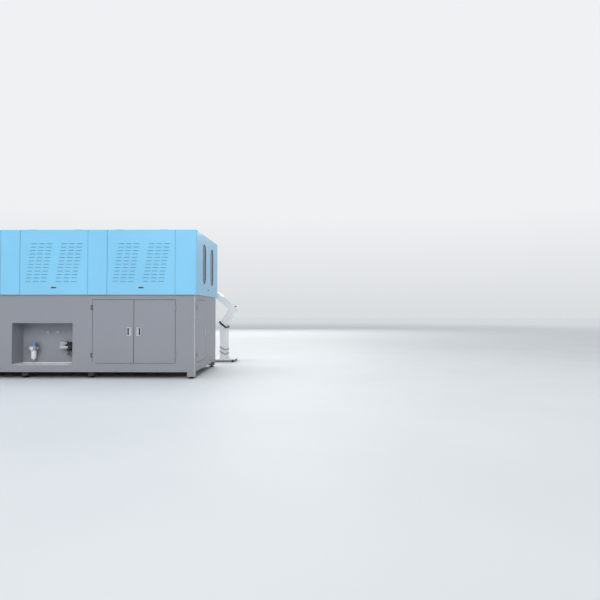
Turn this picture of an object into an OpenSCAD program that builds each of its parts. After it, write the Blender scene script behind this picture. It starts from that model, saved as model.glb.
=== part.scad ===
// Stretch blow moulding machine for bottles: a grey base cabinet, a blue guard with
// lift-up covers, the oven, chain and clamp on its table, and an operator console
// that stands beside it. X runs along the machine towards the aisle, Y from its back
// to the operator side, Z up from the floor. The origin is the middle of the floor area.

/* [Machine] */
// Length over the blue guard
machine_l = 4000; // [3800:10:4400]
// Width over the blue guard
machine_w = 1700; // [1650:10:1900]
// Height over the cover hinges
machine_h = 2100; // [2060:10:2300]
// Height of the seam between grey base and blue guard
seam_z = 1178; // [1170:2:1200]
// Height of the base skirt's lower edge
skirt_z = 93; // [80:1:100]
// How far the guard stands out past the base
overhang = 27; // [20:1:32]
// Thickness of the sheet metal
sheet = 3; // [2:0.5:4]

/* [Base] */
// Side of a corner leg
leg_w = 105; // [90:1:115]
// Clearance between floor and leg
leg_z = 28; // [25:1:36]
// Side of a frame rail
rail_w = 80; // [60:2:90]
// Thickness of the machine table
table_t = 30; // [20:1:40]
// Shadow gap between base skin and guard
shadow_gap = 12; // [6:1:16]
// Radius of a levelling pad
pad_r = 42; // [30:1:50]

/* [Doors] */
// Width of one back door leaf
back_leaf_w = 582; // [520:2:600]
// Height of the doors
door_h = 890; // [800:5:900]
// Height of the doors' lower edge
door_z = 218; // [200:1:240]
// Distance from the base's aisle end to the back doors
back_door_inset = 274; // [240:2:300]
// Gap round a door
door_gap = 3; // [2:0.5:5]
// Depth of a door's folded edge
door_fold = 18; // [12:1:24]
// Width of the aisle end door
end_door_w = 680; // [600:5:700]
// Width of one operator side door leaf
front_leaf_w = 520; // [440:5:560]
// Length of a door hinge
door_hinge_l = 60; // [40:2:90]
// Height of the door latches
latch_z = 660; // [600:5:720]

/* [Latches] */
// Width of a latch plate
latch_w = 60; // [54:1:70]
// Height of a latch plate
latch_h = 116; // [100:1:130]
// Depth of the latch tub
latch_d = 18; // [14:1:24]
// Radius of the latch pin
latch_pin_r = 2; // [1.5:0.1:2.5]

/* [Service recess] */
// Width of the recess for the air supply
recess_w = 855; // [700:5:900]
// Height of the recess
recess_h = 590; // [500:5:620]
// Depth of the recess
recess_d = 290; // [240:5:330]
// Distance from the base's aisle end to the recess
recess_inset = 1721; // [1700:1:1780]
// Height of the recess floor
recess_z = 190; // [185:1:220]

/* [Guard] */
// Width of the fixed strip at the far end
left_strip = 280; // [220:5:340]
// Width of the fixed strip at the aisle end
end_strip = 300; // [260:5:320]
// Width of the fixed strips between covers
mid_strip = 270; // [240:5:280]
// Depth of the folded cover edges
cover_fold = 24; // [18:0.5:24.5]
// Gap between covers and strips
cover_gap = 3; // [2:0.5:5]
// Radius of the folded guard corner
corner_r = 20; // [10:1:26]
// Side of a guard post
post_w = 60; // [50:1:70]
// Height of the beam over the operator bay
beam_h = 130; // [100:5:160]
// Width of the end cover
end_cover_w = 1500; // [1400:10:1500]

/* [Louvres] */
// Rows of louvre slots
louvre_rows = 12; // [8:1:12]
// Slots in one group of a row
louvre_group = 3; // [2:1:3]
// Length of a slot
slot_l = 78; // [60:1:80]
// Height of a slot
slot_h = 9; // [6:0.5:12]
// Gap between slots of a group
slot_gap = 31; // [25:1:34]
// Gap between the two groups
group_gap = 130; // [110:1:140]
// Plain height over the top row
louvre_top = 150; // [120:5:180]
// Sideways shift of each row
row_shift = 7.3; // [0:0.1:8]
// How far a pressed lip stands out
lip_d = 5; // [3:0.5:7]

/* [Cover hinges] */
// Radius of a hinge barrel
barrel_r = 5; // [5:0.5:7]
// Radius of a hinge pin
pin_r = 3; // [2:0.1:3.2]
// Length of a cover hinge
hinge_l = 120; // [90:5:160]

/* [Chain and oven] */
// Radius of the chain's pitch line
chain_r = 240; // [230:1:250]
// Carriers on the chain
carrier_n = 56; // [40:2:60]
// Radius of a carrier's spindle
spindle_r = 9; // [7:0.5:10]
// Height of the heating tunnel's walls
oven_h = 420; // [360:5:440]
// Lamps in the tunnel
lamp_n = 8; // [5:1:9]

/* [Clamp] */
// Length of the clamp plates
clamp_l = 900; // [860:10:920]
// Height of the clamp plates
clamp_h = 480; // [460:5:500]
// Opening stroke of each mould half
clamp_stroke = 120; // [80:1:130]
// Radius of the tie bars
tie_r = 25; // [20:1:28]
// Cavities in the mould
cavity_n = 4; // [2:1:4]
// Radius of a bottle's body
bottle_r = 45; // [35:1:55]
// Travel of the blowing nozzles
nozzle_stroke = 38; // [20:1:38]
// Travel of the transfer carriage
transfer_stroke = 500; // [300:10:520]

/* [Console] */
// Distance from the machine's operator face to the console's middle
console_off = 850; // [700:10:1100]
// How far the console's column stands past the machine's aisle end
console_out = -61; // [-120:1:150]
// Width of the console's column
console_w = 430; // [380:5:460]
// Thickness of the console's column
console_t = 98; // [80:1:110]
// Height of the column's first bend
bend_z = 700; // [620:5:760]
// Height of the console's elbow
elbow_z = 1008; // [960:1:1100]
// How far the elbow leans towards the aisle
elbow_x = 174; // [100:1:180]
// Length of the console's head
head_l = 480; // [440:5:520]
// Slope of the head
head_a = 40; // [30:1:50]
// Length of the console's base plate
foot_l = 520; // [480:5:560]
// Radius of a caster wheel
caster_r = 22; // [18:1:26]

/* [Hidden] */

$fn = 48;
fit = 0.05;
seat_gap = 0.3;

// Base, in machine coordinates from the aisle end's and the back's outer faces
base_x0 = overhang;
base_x1 = machine_l - overhang;
base_y0 = overhang;
base_y1 = machine_w - overhang;
skin_top = seam_z - shadow_gap;
table_z = skin_top - 6;
frame_top = table_z - table_t;
leg_in = base_x0 + sheet;
rail_in = leg_in + 30;
rail_top = skirt_z + rail_w;

// Back doors
door_top = door_z + door_h;
back_door_x1 = base_x1 - back_door_inset;
back_door_xm = back_door_x1 - back_leaf_w - door_gap / 2;
back_door_x0 = back_door_xm - back_leaf_w - door_gap / 2;
end_door_y0 = base_y0 + 125;
end_door_y1 = end_door_y0 + end_door_w;
front_door_xm = base_x1 - 1350;
front_door_x0 = front_door_xm - front_leaf_w - door_gap / 2;
front_door_x1 = front_door_xm + front_leaf_w + door_gap / 2;
hinge_low = door_z + 110;
hinge_high = door_top - 110;
door_barrel_r = 6;
door_leaf_l = 22;

// Latch, with its pin near the seam between the leaves
tub_wall = 2;
tub_w = latch_w - 8;
tub_h = latch_h - 14;
latch_inset = 64;
paddle_r = 4;
paddle_l = 22;
pin_u = tub_w / 2 - tub_wall - paddle_r - 2;
pin_in = 1;

// Recess
recess_x1 = base_x1 - recess_inset;
recess_x0 = recess_x1 - recess_w;
recess_back = base_y0 + recess_d;

// Cross rails: two under the air tank, two under the control gear
cross_x = [base_x0 + 593, recess_x0 + 83, back_door_x0 - 105 + door_gap, back_door_x1 - 35];

// Guard
roof_z = machine_h - 2 * barrel_r;
frame_in = max(overhang, 27) + sheet;
sill_w = 40;
ring_z = roof_z - sheet - post_w;
hinge_y = frame_in - 3.5;
hinge_z = roof_z + barrel_r;
cover_z0 = seam_z;
cover_top = roof_z;
cover_h = cover_top - cover_z0;
cover_w = (machine_l - left_strip - end_strip - 2 * mid_strip) / 3;
bay_x0 = left_strip;
bay_x1 = machine_l - end_strip;
end_cover_y0 = (machine_w - end_cover_w) / 2;
end_cover_y1 = end_cover_y0 + end_cover_w;
beam_z = roof_z - beam_h;
louvre_z0 = 186;
row_pitch = (cover_h - louvre_z0 - louvre_top) / louvre_rows;
handle_w = 80;
handle_h = 25;
handle_z = cover_z0 + 100;
window_w = 200;
window_h = cover_h - 322;
window_z = cover_z0 + 182;
gauge_x = machine_l - 180;
knob_x = machine_l - 105;
gauge_z = [roof_z - 442, roof_z - 292, roof_z - 142];

// Chain, track and oven
wheel_y = 800;
wheel_x0 = bay_x0 + 420;
wheel_x1 = bay_x1 - clamp_l - 650;
wheel_span = wheel_x1 - wheel_x0;
track_z = table_z + 110;
track_t = 20;
track_r = chain_r + 2;
chain_z = track_z + track_t + seat_gap;
chain_t = 16;
chain_half = 12;
link_half = 8;
wheel_r = chain_r - chain_half - seat_gap;
spindle_z = chain_z + chain_t;
spindle_l = 40;
run_back_y = wheel_y - chain_r;
run_front_y = wheel_y + chain_r;
chain_len = 2 * wheel_span + 2 * PI * chain_r;
chain_pitch = chain_len / carrier_n;
wheel_notches = round(2 * PI * chain_r / chain_pitch);
oven_x0 = wheel_x0 + 175;
oven_l = wheel_span - 350;
oven_z0 = table_z + 170;
oven_wall = 70;
tunnel_w = 180;
oven_y0 = run_back_y - tunnel_w / 2 - oven_wall;

// Clamp
clamp_x0 = bay_x1 - clamp_l - 240;
clamp_x1 = clamp_x0 + clamp_l;
clamp_y = 1000;
clamp_z0 = table_z + 40;
end_plate_t = 50;
platen_t = 40;
mould_t = 80;
plate_gap = 210;
platen_back = clamp_y - mould_t - platen_t;
end_plate_in = platen_back - plate_gap;
end_plate_out = end_plate_in - end_plate_t;
tie_x = [clamp_x0 + 50, clamp_x1 - 50];
tie_z = [clamp_z0 + 50, clamp_z0 + clamp_h - 50];
bridge_z = ring_z - 97;
mould_x0 = clamp_x0 + 120;
mould_l = clamp_l - 240;
mould_z0 = clamp_z0 + 80;
mould_top = bridge_z - 330;
mould_h = mould_top - mould_z0;
bottle_h = mould_h - 100;
cavity_pitch = mould_l / cavity_n;
rod_r = 20;
cylinder_r = 60;
cylinder_l = clamp_stroke + 30;
portal_w = 50;
portal_x0 = clamp_x0 - 10 - portal_w;
portal_x1 = clamp_x1 + 10;
bridge_t = 30;
guide_r = 15;
guide_x = [mould_x0 + 40, mould_x0 + mould_l - 40];
head_z = mould_top + 200;
nozzle_tip = mould_top + nozzle_stroke + 2;
nozzle_r = 12;
rail_y = run_front_y + 70;
rail_h = 40;
rail_z = table_z + 80;
arm_z = spindle_z + spindle_l + 14;
carriage_l = 300;
carriage_x = clamp_x0 - clamp_l - 60;
carriage_t = 20;

// Console, with its profile in the XZ plane
console_y = machine_w + console_off;
console_x = machine_l + console_out;
console_y0 = console_y - console_w / 2;
foot_z = 2 * caster_r + 6;
foot_t = 12;
foot_x0 = console_x + console_t / 2 - foot_l / 2 - 24;
foot_w = console_w + 50;
head_dx = head_l * cos(head_a);
head_dz = head_l * sin(head_a);
elbow_x1 = console_x + elbow_x + console_t + 12;
screen_from = 70;
screen_l = 270;
screen_w = 340;

// Middle of the floor area, which becomes the origin
outer_y0 = -lip_d;
outer_y1 = console_y + foot_w / 2;
outer_x1 = foot_x0 + foot_l;
centre_x = outer_x1 / 2;
centre_y = (outer_y0 + outer_y1) / 2;

blue = [0.36, 0.66, 0.92];
grey = [0.36, 0.37, 0.40];
dark = [0.13, 0.13, 0.14];
steel = [0.72, 0.73, 0.75];
chrome = [0.85, 0.86, 0.88];
white = [0.93, 0.94, 0.95];
brass = [0.80, 0.62, 0.25];

module place() {
    translate([-centre_x, -centre_y, 0]) children();
}

module block(from, to) {
    translate(from) cube(to - from);
}

module rod_x(x0, x1, y, z, r) {
    translate([x0, y, z]) rotate([0, 90, 0]) cylinder(r = r, h = x1 - x0);
}

module rod_y(x, y0, y1, z, r) {
    translate([x, y0, z]) rotate([-90, 0, 0]) cylinder(r = r, h = y1 - y0);
}

module rod_z(x, y, z0, z1, r) {
    translate([x, y, z0]) cylinder(r = r, h = z1 - z0);
}

module rounded_area(x0, y0, x1, y1, r) {
    translate([x0 + r, y0]) square([x1 - x0 - 2 * r, y1 - y0]);
    translate([x0, y0 + r]) square([x1 - x0, y1 - y0 - 2 * r]);
    for (x = [x0 + r, x1 - r], y = [y0 + r, y1 - r])
        translate([x, y]) circle(r = r);
}

// Hinge halves lie along X with the fixed leaf at +Y and the leaves' underside at -barrel
module hinge_fixed(len, barrel, pin, leaf) {
    for (side = [-1, 1])
        translate([side * len / 3 - len / 6, 0, 0]) {
            rotate([0, 90, 0]) cylinder(r = barrel, h = len / 3);
            translate([0, 0, -barrel]) cube([len / 3, leaf, sheet]);
        }
    translate([-len / 2, 0, 0]) rotate([0, 90, 0]) cylinder(r = pin, h = len);
    translate([-len / 2, barrel + 1, -barrel]) cube([len, leaf - barrel - 1, sheet]);
}

module hinge_moving(len, barrel, pin, leaf) {
    knuckle = len / 3 - 1;
    difference() {
        union() {
            translate([-knuckle / 2, 0, 0]) rotate([0, 90, 0]) cylinder(r = barrel, h = knuckle);
            translate([-knuckle / 2, -leaf, -barrel]) cube([knuckle, leaf, sheet]);
            translate([-len / 2, -leaf, -barrel]) cube([len, leaf - barrel - 1, sheet]);
        }
        translate([-len, 0, 0]) rotate([0, 90, 0]) cylinder(r = pin + fit, h = 2 * len);
    }
}

// Turns a hinge upright on a face that looks along -Y, with its fixed leaf on that side in X
module upright(side) {
    rotate([90, 0, 0]) rotate([0, 0, side > 0 ? -90 : 90]) children();
}

// A folded pan: a face with four edges folded back from it
module pan(w, h, fold) {
    difference() {
        cube([w, fold, h]);
        translate([sheet, sheet, sheet]) cube([w - 2 * sheet, fold, h - 2 * sheet]);
    }
}

module latch_hole() {
    block([-tub_w / 2 - seat_gap, -1, -tub_h / 2 - seat_gap],
          [tub_w / 2 + seat_gap, sheet + 1, tub_h / 2 + seat_gap]);
}

// Latch housing: a plate with a finger tub behind it and a pin for the paddle
module latch_housing() {
    inner_w = tub_w - 2 * tub_wall;
    inner_h = tub_h - 2 * tub_wall;
    difference() {
        union() {
            block([-latch_w / 2, -sheet, -latch_h / 2], [latch_w / 2, 0, latch_h / 2]);
            block([-tub_w / 2, -1, -tub_h / 2], [tub_w / 2, latch_d, tub_h / 2]);
        }
        block([-inner_w / 2, -sheet - 1, -inner_h / 2], [inner_w / 2, latch_d - tub_wall, inner_h / 2]);
    }
    rod_z(pin_u, pin_in, -inner_h / 2 - 1, inner_h / 2 + 1, latch_pin_r);
}

module latch_paddle() {
    paddle_h = tub_h - 2 * tub_wall - 6;
    difference() {
        union() {
            rod_z(pin_u, pin_in, -paddle_h / 2, paddle_h / 2, paddle_r);
            block([pin_u - paddle_l, pin_in - sheet, -paddle_h / 2], [pin_u, pin_in, paddle_h / 2]);
        }
        rod_z(pin_u, pin_in, -tub_h, tub_h, latch_pin_r + fit);
    }
}

// A door leaf in the XZ plane whose lower left corner is the origin
module door_leaf(w, latch_at, hinge_side) {
    difference() {
        pan(w, door_h, door_fold);
        translate([latch_at, 0, latch_z - door_z]) latch_hole();
    }
    for (z = [hinge_low, hinge_high])
        translate([hinge_side < 0 ? -door_gap / 2 : w + door_gap / 2, -door_barrel_r, z - door_z])
            upright(hinge_side)
                hinge_moving(door_hinge_l, door_barrel_r, pin_r, door_leaf_l);
}

module door_hinges_fixed(x, hinge_side) {
    for (z = [hinge_low, hinge_high])
        translate([x, -door_barrel_r, z])
            upright(hinge_side)
                hinge_fixed(door_hinge_l, door_barrel_r, pin_r, door_leaf_l);
}

// Frames that carry the doors to their faces
module on_back() {
    translate([0, base_y0, 0]) children();
}

module on_end() {
    translate([base_x1, 0, 0]) rotate([0, 0, 90]) children();
}

module on_front() {
    translate([0, base_y1, 0]) rotate([0, 0, 180]) children();
}

module base_frame() {
    color(grey) place() {
        for (x = [leg_in, machine_l - leg_in - leg_w], y = [leg_in, machine_w - leg_in - leg_w])
            difference() {
                block([x, y, leg_z], [x + leg_w, y + leg_w, frame_top]);
                rod_z(x + leg_w / 2, y + leg_w / 2, leg_z - 1, leg_z + 60, 10 + fit);
            }
        rail_ring(skirt_z, rail_top, 1);
    }
}

// Four rails between the legs
module rail_ring(z0, z1, into) {
    for (y = [rail_in, machine_w - rail_in - rail_w])
        block([leg_in + leg_w - into, y, z0], [machine_l - leg_in - leg_w + into, y + rail_w, z1]);
    for (x = [rail_in, machine_l - rail_in - rail_w])
        block([x, leg_in + leg_w - into, z0], [x + rail_w, machine_w - leg_in - leg_w + into, z1]);
}

module cross_rails() {
    color(grey) place() {
        for (x = cross_x)
            block([x, rail_in + rail_w, skirt_z], [x + rail_w, machine_w - rail_in - rail_w, rail_top]);
        for (x = [cross_x[1], cross_x[2]], y = [rail_in + rail_w, machine_w - rail_in - 2 * rail_w])
            difference() {
                block([x, y, leg_z], [x + rail_w, y + rail_w, skirt_z + 1]);
                rod_z(x + rail_w / 2, y + rail_w / 2, leg_z - 1, leg_z + 60, 10 + fit);
            }
    }
}

module levelling_foot() {
    cylinder(r = pad_r, h = 8);
    translate([0, 0, 8]) cylinder(r1 = pad_r - 6, r2 = 16, h = 5);
    cylinder(r = 10, h = leg_z + 50);
    translate([0, 0, leg_z - 14]) cylinder(r = 16, h = 14 - seat_gap, $fn = 6);
}

module levelling_feet() {
    color(steel) place() {
        for (x = [leg_in + leg_w / 2, machine_l - leg_in - leg_w / 2],
             y = [leg_in + leg_w / 2, machine_w - leg_in - leg_w / 2])
            translate([x, y, 0]) levelling_foot();
        for (x = [cross_x[1], cross_x[2]],
             y = [rail_in + rail_w * 1.5, machine_w - rail_in - rail_w * 1.5])
            translate([x + rail_w / 2, y, 0]) levelling_foot();
    }
}

module back_panel() {
    color(grey) place() difference() {
        block([base_x0, base_y0, skirt_z], [base_x1, base_y0 + sheet, skin_top]);
        block([back_door_x0 - door_gap, 0, door_z - door_gap], [back_door_x1 + door_gap, 99, door_top + door_gap]);
        block([recess_x0 - sheet - seat_gap, 0, recess_z - sheet - seat_gap],
              [recess_x1 + sheet + seat_gap, 99, recess_z + recess_h + sheet + seat_gap]);
    }
}

module base_panels() {
    color(grey) place() {
        block([base_x0, base_y0 + sheet, skirt_z], [base_x0 + sheet, base_y1 - sheet, skin_top]);
        difference() {
            block([base_x1 - sheet, base_y0 + sheet, skirt_z], [base_x1, base_y1 - sheet, skin_top]);
            block([base_x1 - 50, end_door_y0 - door_gap, door_z - door_gap],
                  [base_x1 + 50, end_door_y1 + door_gap, door_top + door_gap]);
        }
        difference() {
            block([base_x0, base_y1 - sheet, skirt_z], [base_x1, base_y1, skin_top]);
            block([front_door_x0 - door_gap, base_y1 - 50, door_z - door_gap],
                  [front_door_x1 + door_gap, base_y1 + 50, door_top + door_gap]);
        }
    }
}

// The table plate with the rails that carry it between the legs
module machine_table() {
    color(dark) place() {
        block([leg_in, leg_in, frame_top], [machine_l - leg_in, machine_w - leg_in, table_z]);
        rail_ring(frame_top - rail_w, frame_top + 1, 0);
    }
}

module service_recess() {
    color(grey) place() difference() {
        block([recess_x0 - sheet, base_y0, recess_z - sheet],
              [recess_x1 + sheet, recess_back + sheet, recess_z + recess_h + sheet]);
        block([recess_x0, base_y0 - 1, recess_z], [recess_x1, recess_back, recess_z + recess_h]);
    }
}

// Air service unit on the recess's back wall
module at_filter() {
    translate([recess_x0 + 196, recess_back - 75, recess_z + 191]) children();
}

module filter_regulator() {
    color(steel) place() at_filter() {
        block([-44, -44, 0], [44, 44, 65]);
        rod_x(-78, 78, 0, 32, 19);
        block([-15, 43, 15], [15, 75, 50]);
        block([-50, 68, 0], [50, 75, 65]);
        rod_y(0, -60, -43, 32, 25);
        rod_z(0, 0, 64, 105, 7.5);
        rod_x(-115, -77, 0, 32, 11);
    }
}

module filter_bowl() {
    color(white) place() at_filter() {
        rotate_extrude() polygon([
            [0, 0], [37, 0], [37, -98], [30, -120], [10, -130], [10, -142], [0, -142]
        ]);
    }
}

module filter_knob() {
    color(blue) place() at_filter() difference() {
        union() {
            rod_z(0, 0, 65 + seat_gap, 75, 34);
            rod_z(0, 0, 74, 120, 29);
            for (a = [0:30:330])
                rotate([0, 0, a]) block([26, -2.5, 75], [31, 2.5, 117]);
        }
        rod_z(0, 0, 60, 108, 7.5 + fit);
    }
}

module air_fittings() {
    color(brass) place() {
        for (x = [recess_x0 + 379, recess_x0 + 517])
            translate([x, recess_back, recess_z + 451]) {
                rod_y(0, -16, 0, 0, 17);
                rod_y(0, -44, -15, 0, 11);
                rod_y(0, -50, -43, 0, 14);
            }
        at_valve() valve_body();
    }
}

module at_valve() {
    translate([recess_x0 + 651, recess_back - 80, recess_z + 240]) children();
}

module valve_body() {
    rod_x(-68, 68, 0, 0, 22);
    rod_x(-31, 31, 0, 0, 31);
    for (x = [-68, 47])
        translate([x, 0, 0]) rotate([0, 90, 0]) cylinder(r = 30, h = 21, $fn = 6);
    rod_y(-57, 0, 80, 0, 16);
    rod_z(57, 0, -118, 0, 16);
    translate([57, 0, -112]) cylinder(r = 24, h = 20, $fn = 6);
    rod_y(0, -55, 0, 0, 8);
    rod_y(0, -39, -30, 0, 14);
}

module valve_lever() {
    color(dark) place() at_valve() difference() {
        union() {
            block([-16, -50, -13], [135, -43, 13]);
            rod_y(0, -52, -39 - seat_gap, 0, 16);
        }
        rod_y(0, -65, -26, 0, 8 + fit);
    }
}

// Compressed air tank lying on two cross rails
module air_receiver() {
    tank_r = 190;
    tank_y = 1000;
    tank_z = rail_top + tank_r + 25;
    color(grey) place() {
        rod_x(cross_x[0] - 120, cross_x[1] + 200, tank_y, tank_z, tank_r);
        for (x = [cross_x[0] - 120, cross_x[1] + 200])
            translate([x, tank_y, tank_z]) intersection() {
                sphere(r = 330);
                rotate([0, x < cross_x[1] ? -90 : 90, 0]) cylinder(r = tank_r, h = 70);
            }
        for (x = [cross_x[0], cross_x[1]])
            difference() {
                block([x + 10, tank_y - 150, rail_top], [x + 70, tank_y + 150, tank_z]);
                rod_x(x, x + rail_w, tank_y, tank_z, tank_r - 5);
            }
        rod_z(cross_x[1] - 300, tank_y, tank_z + tank_r - 3, tank_z + tank_r + 40, 30);
    }
}

// Mounting plate with drives, contactors, terminals and cable ducts behind the back doors
module control_gear() {
    plate_y = recess_back + 13;
    gear_x0 = cross_x[2] + rail_w;
    gear_w = cross_x[3] - gear_x0 - 20;
    color(steel) place() {
        block([cross_x[2] + 20, plate_y, rail_top], [cross_x[3] + 60, plate_y + 4, door_top - 30]);
        for (x = [cross_x[2] + 20, cross_x[3] + 30])
            block([x, plate_y + 3, rail_top], [x + 30, plate_y + 30, door_top - 30]);
        for (row = [0:2])
            block([gear_x0, plate_y - 45, rail_top + 60 + row * 290],
                  [gear_x0 + gear_w, plate_y, rail_top + 100 + row * 290]);
        for (i = [0:4])
            block([gear_x0 + 20 + i * 150, plate_y - 130, rail_top + 130],
                  [gear_x0 + 130 + i * 150, plate_y, rail_top + 320]);
        block([gear_x0 + 20, plate_y - 90, rail_top + 430], [gear_x0 + 708, plate_y, rail_top + 530]);
        block([gear_x0 + 20, plate_y - 75, rail_top + 720], [gear_x0 + 733, plate_y, rail_top + 810]);
    }
}

module back_leaf_left() {
    on_back() translate([back_door_x0, 0, door_z]) children();
}

module back_leaf_right() {
    on_back() translate([back_door_xm + door_gap / 2, 0, door_z]) children();
}

module end_leaf() {
    on_end() translate([end_door_y0, 0, door_z]) children();
}

module front_leaf_left() {
    on_front() translate([-front_door_x1, 0, door_z]) children();
}

module front_leaf_right() {
    on_front() translate([-front_door_xm + door_gap / 2, 0, door_z]) children();
}

// The latch of a leaf, near its free edge; side is the leaf's hinge side
module at_latch(w, side) {
    translate([side < 0 ? w - latch_inset : latch_inset, 0, latch_z - door_z])
        mirror([side < 0 ? 0 : 1, 0, 0]) children();
}

module back_door_left() {
    color(grey) place() back_leaf_left() door_leaf(back_leaf_w, back_leaf_w - latch_inset, -1);
}

module back_door_right() {
    color(grey) place() back_leaf_right() door_leaf(back_leaf_w, latch_inset, 1);
}

module back_latch_left() {
    color(chrome) place() back_leaf_left() at_latch(back_leaf_w, -1) latch_housing();
}

module back_latch_right() {
    color(chrome) place() back_leaf_right() at_latch(back_leaf_w, 1) latch_housing();
}

module back_paddle_left() {
    color(chrome) place() back_leaf_left() at_latch(back_leaf_w, -1) latch_paddle();
}

module back_paddle_right() {
    color(chrome) place() back_leaf_right() at_latch(back_leaf_w, 1) latch_paddle();
}

module end_door() {
    color(grey) place() end_leaf() {
        door_leaf(end_door_w, end_door_w - latch_inset, -1);
        at_latch(end_door_w, -1) latch_housing();
    }
}

module end_paddle() {
    color(chrome) place() end_leaf() at_latch(end_door_w, -1) latch_paddle();
}

module operator_door_left() {
    color(grey) place() front_leaf_left() {
        door_leaf(front_leaf_w, front_leaf_w - latch_inset, -1);
        at_latch(front_leaf_w, -1) latch_housing();
    }
}

module operator_door_right() {
    color(grey) place() front_leaf_right() {
        door_leaf(front_leaf_w, latch_inset, 1);
        at_latch(front_leaf_w, 1) latch_housing();
    }
}

module operator_paddle_left() {
    color(chrome) place() front_leaf_left() at_latch(front_leaf_w, -1) latch_paddle();
}

module operator_paddle_right() {
    color(chrome) place() front_leaf_right() at_latch(front_leaf_w, 1) latch_paddle();
}

function cover_x(i) = machine_l - end_strip - cover_w * (i + 1) - mid_strip * i;

module cover_hinge_spots(i) {
    for (x = [cover_x(i) + 160, cover_x(i) + cover_w - 160])
        translate([x, hinge_y, hinge_z]) children();
}

module end_hinge_spots() {
    for (y = [end_cover_y0 + 200, end_cover_y1 - 200])
        translate([machine_l - hinge_y, y, hinge_z]) rotate([0, 0, 90]) children();
}

module fixed_hinges() {
    color(dark) place() {
        on_back() {
            door_hinges_fixed(back_door_x0 - door_gap / 2, -1);
            door_hinges_fixed(back_door_x1 + door_gap / 2, 1);
        }
        on_end() door_hinges_fixed(end_door_y0 - door_gap / 2, -1);
        on_front() {
            door_hinges_fixed(-front_door_x1 - door_gap / 2, -1);
            door_hinges_fixed(-front_door_x0 + door_gap / 2, 1);
        }
        for (i = [0:2])
            cover_hinge_spots(i) hinge_fixed(hinge_l, barrel_r, pin_r, 40);
        end_hinge_spots() hinge_fixed(hinge_l, barrel_r, pin_r, 40);
    }
}

module guard_frame() {
    post_x = [frame_in, cover_x(2) + cover_w + mid_strip / 2 - post_w / 2,
              cover_x(1) + cover_w + mid_strip / 2 - post_w / 2, machine_l - frame_in - post_w];
    front_y = machine_w - frame_in - post_w;
    color(dark) place() {
        for (x = post_x)
            block([x, frame_in, table_z], [x + post_w, frame_in + post_w, ring_z + 1]);
        for (x = [frame_in, bay_x0 - post_w, bay_x1, machine_l - frame_in - post_w])
            block([x, front_y, table_z], [x + post_w, front_y + post_w, ring_z + 1]);
        for (y = [frame_in, front_y])
            block([frame_in, y, ring_z], [machine_l - frame_in, y + post_w, ring_z + post_w]);
        for (x = post_x)
            block([x, frame_in + post_w - 1, ring_z], [x + post_w, front_y + 1, ring_z + post_w]);
        block([frame_in, frame_in, table_z], [machine_l - frame_in, frame_in + sill_w, table_z + sill_w]);
        for (x = [frame_in, machine_l - frame_in - sill_w])
            block([x, frame_in, table_z], [x + sill_w, machine_w - frame_in, table_z + sill_w]);
        for (run = [[frame_in, bay_x0], [bay_x1, machine_l - frame_in]])
            block([run[0], machine_w - frame_in - sill_w, table_z], [run[1], machine_w - frame_in, table_z + sill_w]);
    }
}

// The guard's outer skin as a thin ring seen from above
module guard_ring() {
    difference() {
        rounded_area(0, 0, machine_l, machine_w, corner_r);
        rounded_area(sheet, sheet, machine_l - sheet, machine_w - sheet, corner_r - sheet);
    }
}

module strip(x0, x1, y0, y1) {
    translate([0, 0, seam_z]) linear_extrude(cover_h)
        intersection() {
            guard_ring();
            translate([x0, y0]) square([x1 - x0, y1 - y0]);
        }
}

module edge_fold_x(x, y0, y1) {
    block([x, y0, seam_z], [x + sheet, y1, roof_z]);
}

module guard_strips() {
    half = cover_gap / 2;
    left_end = cover_x(2) - half;
    color(blue) place() {
        strip(-1, left_end, -1, machine_w / 2);
        strip(-1, bay_x0, machine_w / 2 - 1, machine_w + 1);
        edge_fold_x(left_end - sheet, 1, frame_in);
        for (i = [1, 2]) {
            x0 = cover_x(i) + cover_w + half;
            x1 = x0 + mid_strip - cover_gap;
            strip(x0, x1, -1, corner_r);
            edge_fold_x(x0, 1, frame_in);
            edge_fold_x(x1 - sheet, 1, frame_in);
        }
        strip(bay_x1 + half, machine_l + 1, -1, end_cover_y0 - half);
        edge_fold_x(bay_x1 + half, 1, frame_in);
        block([machine_l - frame_in, end_cover_y0 - half - sheet, seam_z],
              [machine_l - 1, end_cover_y0 - half, roof_z]);
        strip(bay_x1, machine_l + 1, end_cover_y1 + half, machine_w + 1);
        block([machine_l - frame_in, end_cover_y1 + half, seam_z],
              [machine_l - 1, end_cover_y1 + half + sheet, roof_z]);
        block([bay_x1, machine_w - frame_in, seam_z], [bay_x1 + sheet, machine_w - 1, roof_z]);
        block([bay_x0 - sheet, machine_w - frame_in, seam_z], [bay_x0, machine_w - 1, roof_z]);
        for (z = gauge_z) {
            rod_y(knob_x, machine_w - 1, machine_w + 14, z, 5);
            rod_y(knob_x, machine_w - 1, machine_w + 3, z, 14);
        }
    }
}

module roof_panel() {
    color(blue) place() difference() {
        block([frame_in, frame_in, roof_z - sheet], [machine_l - frame_in, machine_w - frame_in, roof_z]);
        for (i = [0:9])
            block([oven_x0 + 100 + i * 90, wheel_y - 350, roof_z - 9], [oven_x0 + 140 + i * 90, wheel_y - 50, roof_z + 9]);
    }
}

module operator_beam() {
    color(blue) place() {
        block([bay_x0, machine_w - sheet, beam_z], [bay_x1, machine_w, roof_z]);
        block([bay_x0, machine_w - frame_in - post_w, beam_z], [bay_x1, machine_w - 1, beam_z + sheet]);
        block([bay_x0, machine_w - frame_in, roof_z - sheet], [bay_x1, machine_w - 1, roof_z]);
    }
}

// A row of slots; row 0 is the lowest
function slot_x(row, group, i) =
    cover_w / 2 + (row - (louvre_rows - 1) / 2) * row_shift
    + (group - 0.5) * (louvre_group * (slot_l + slot_gap) - slot_gap + group_gap)
    + (i - (louvre_group - 1) / 2) * (slot_l + slot_gap) - slot_l / 2;

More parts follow.
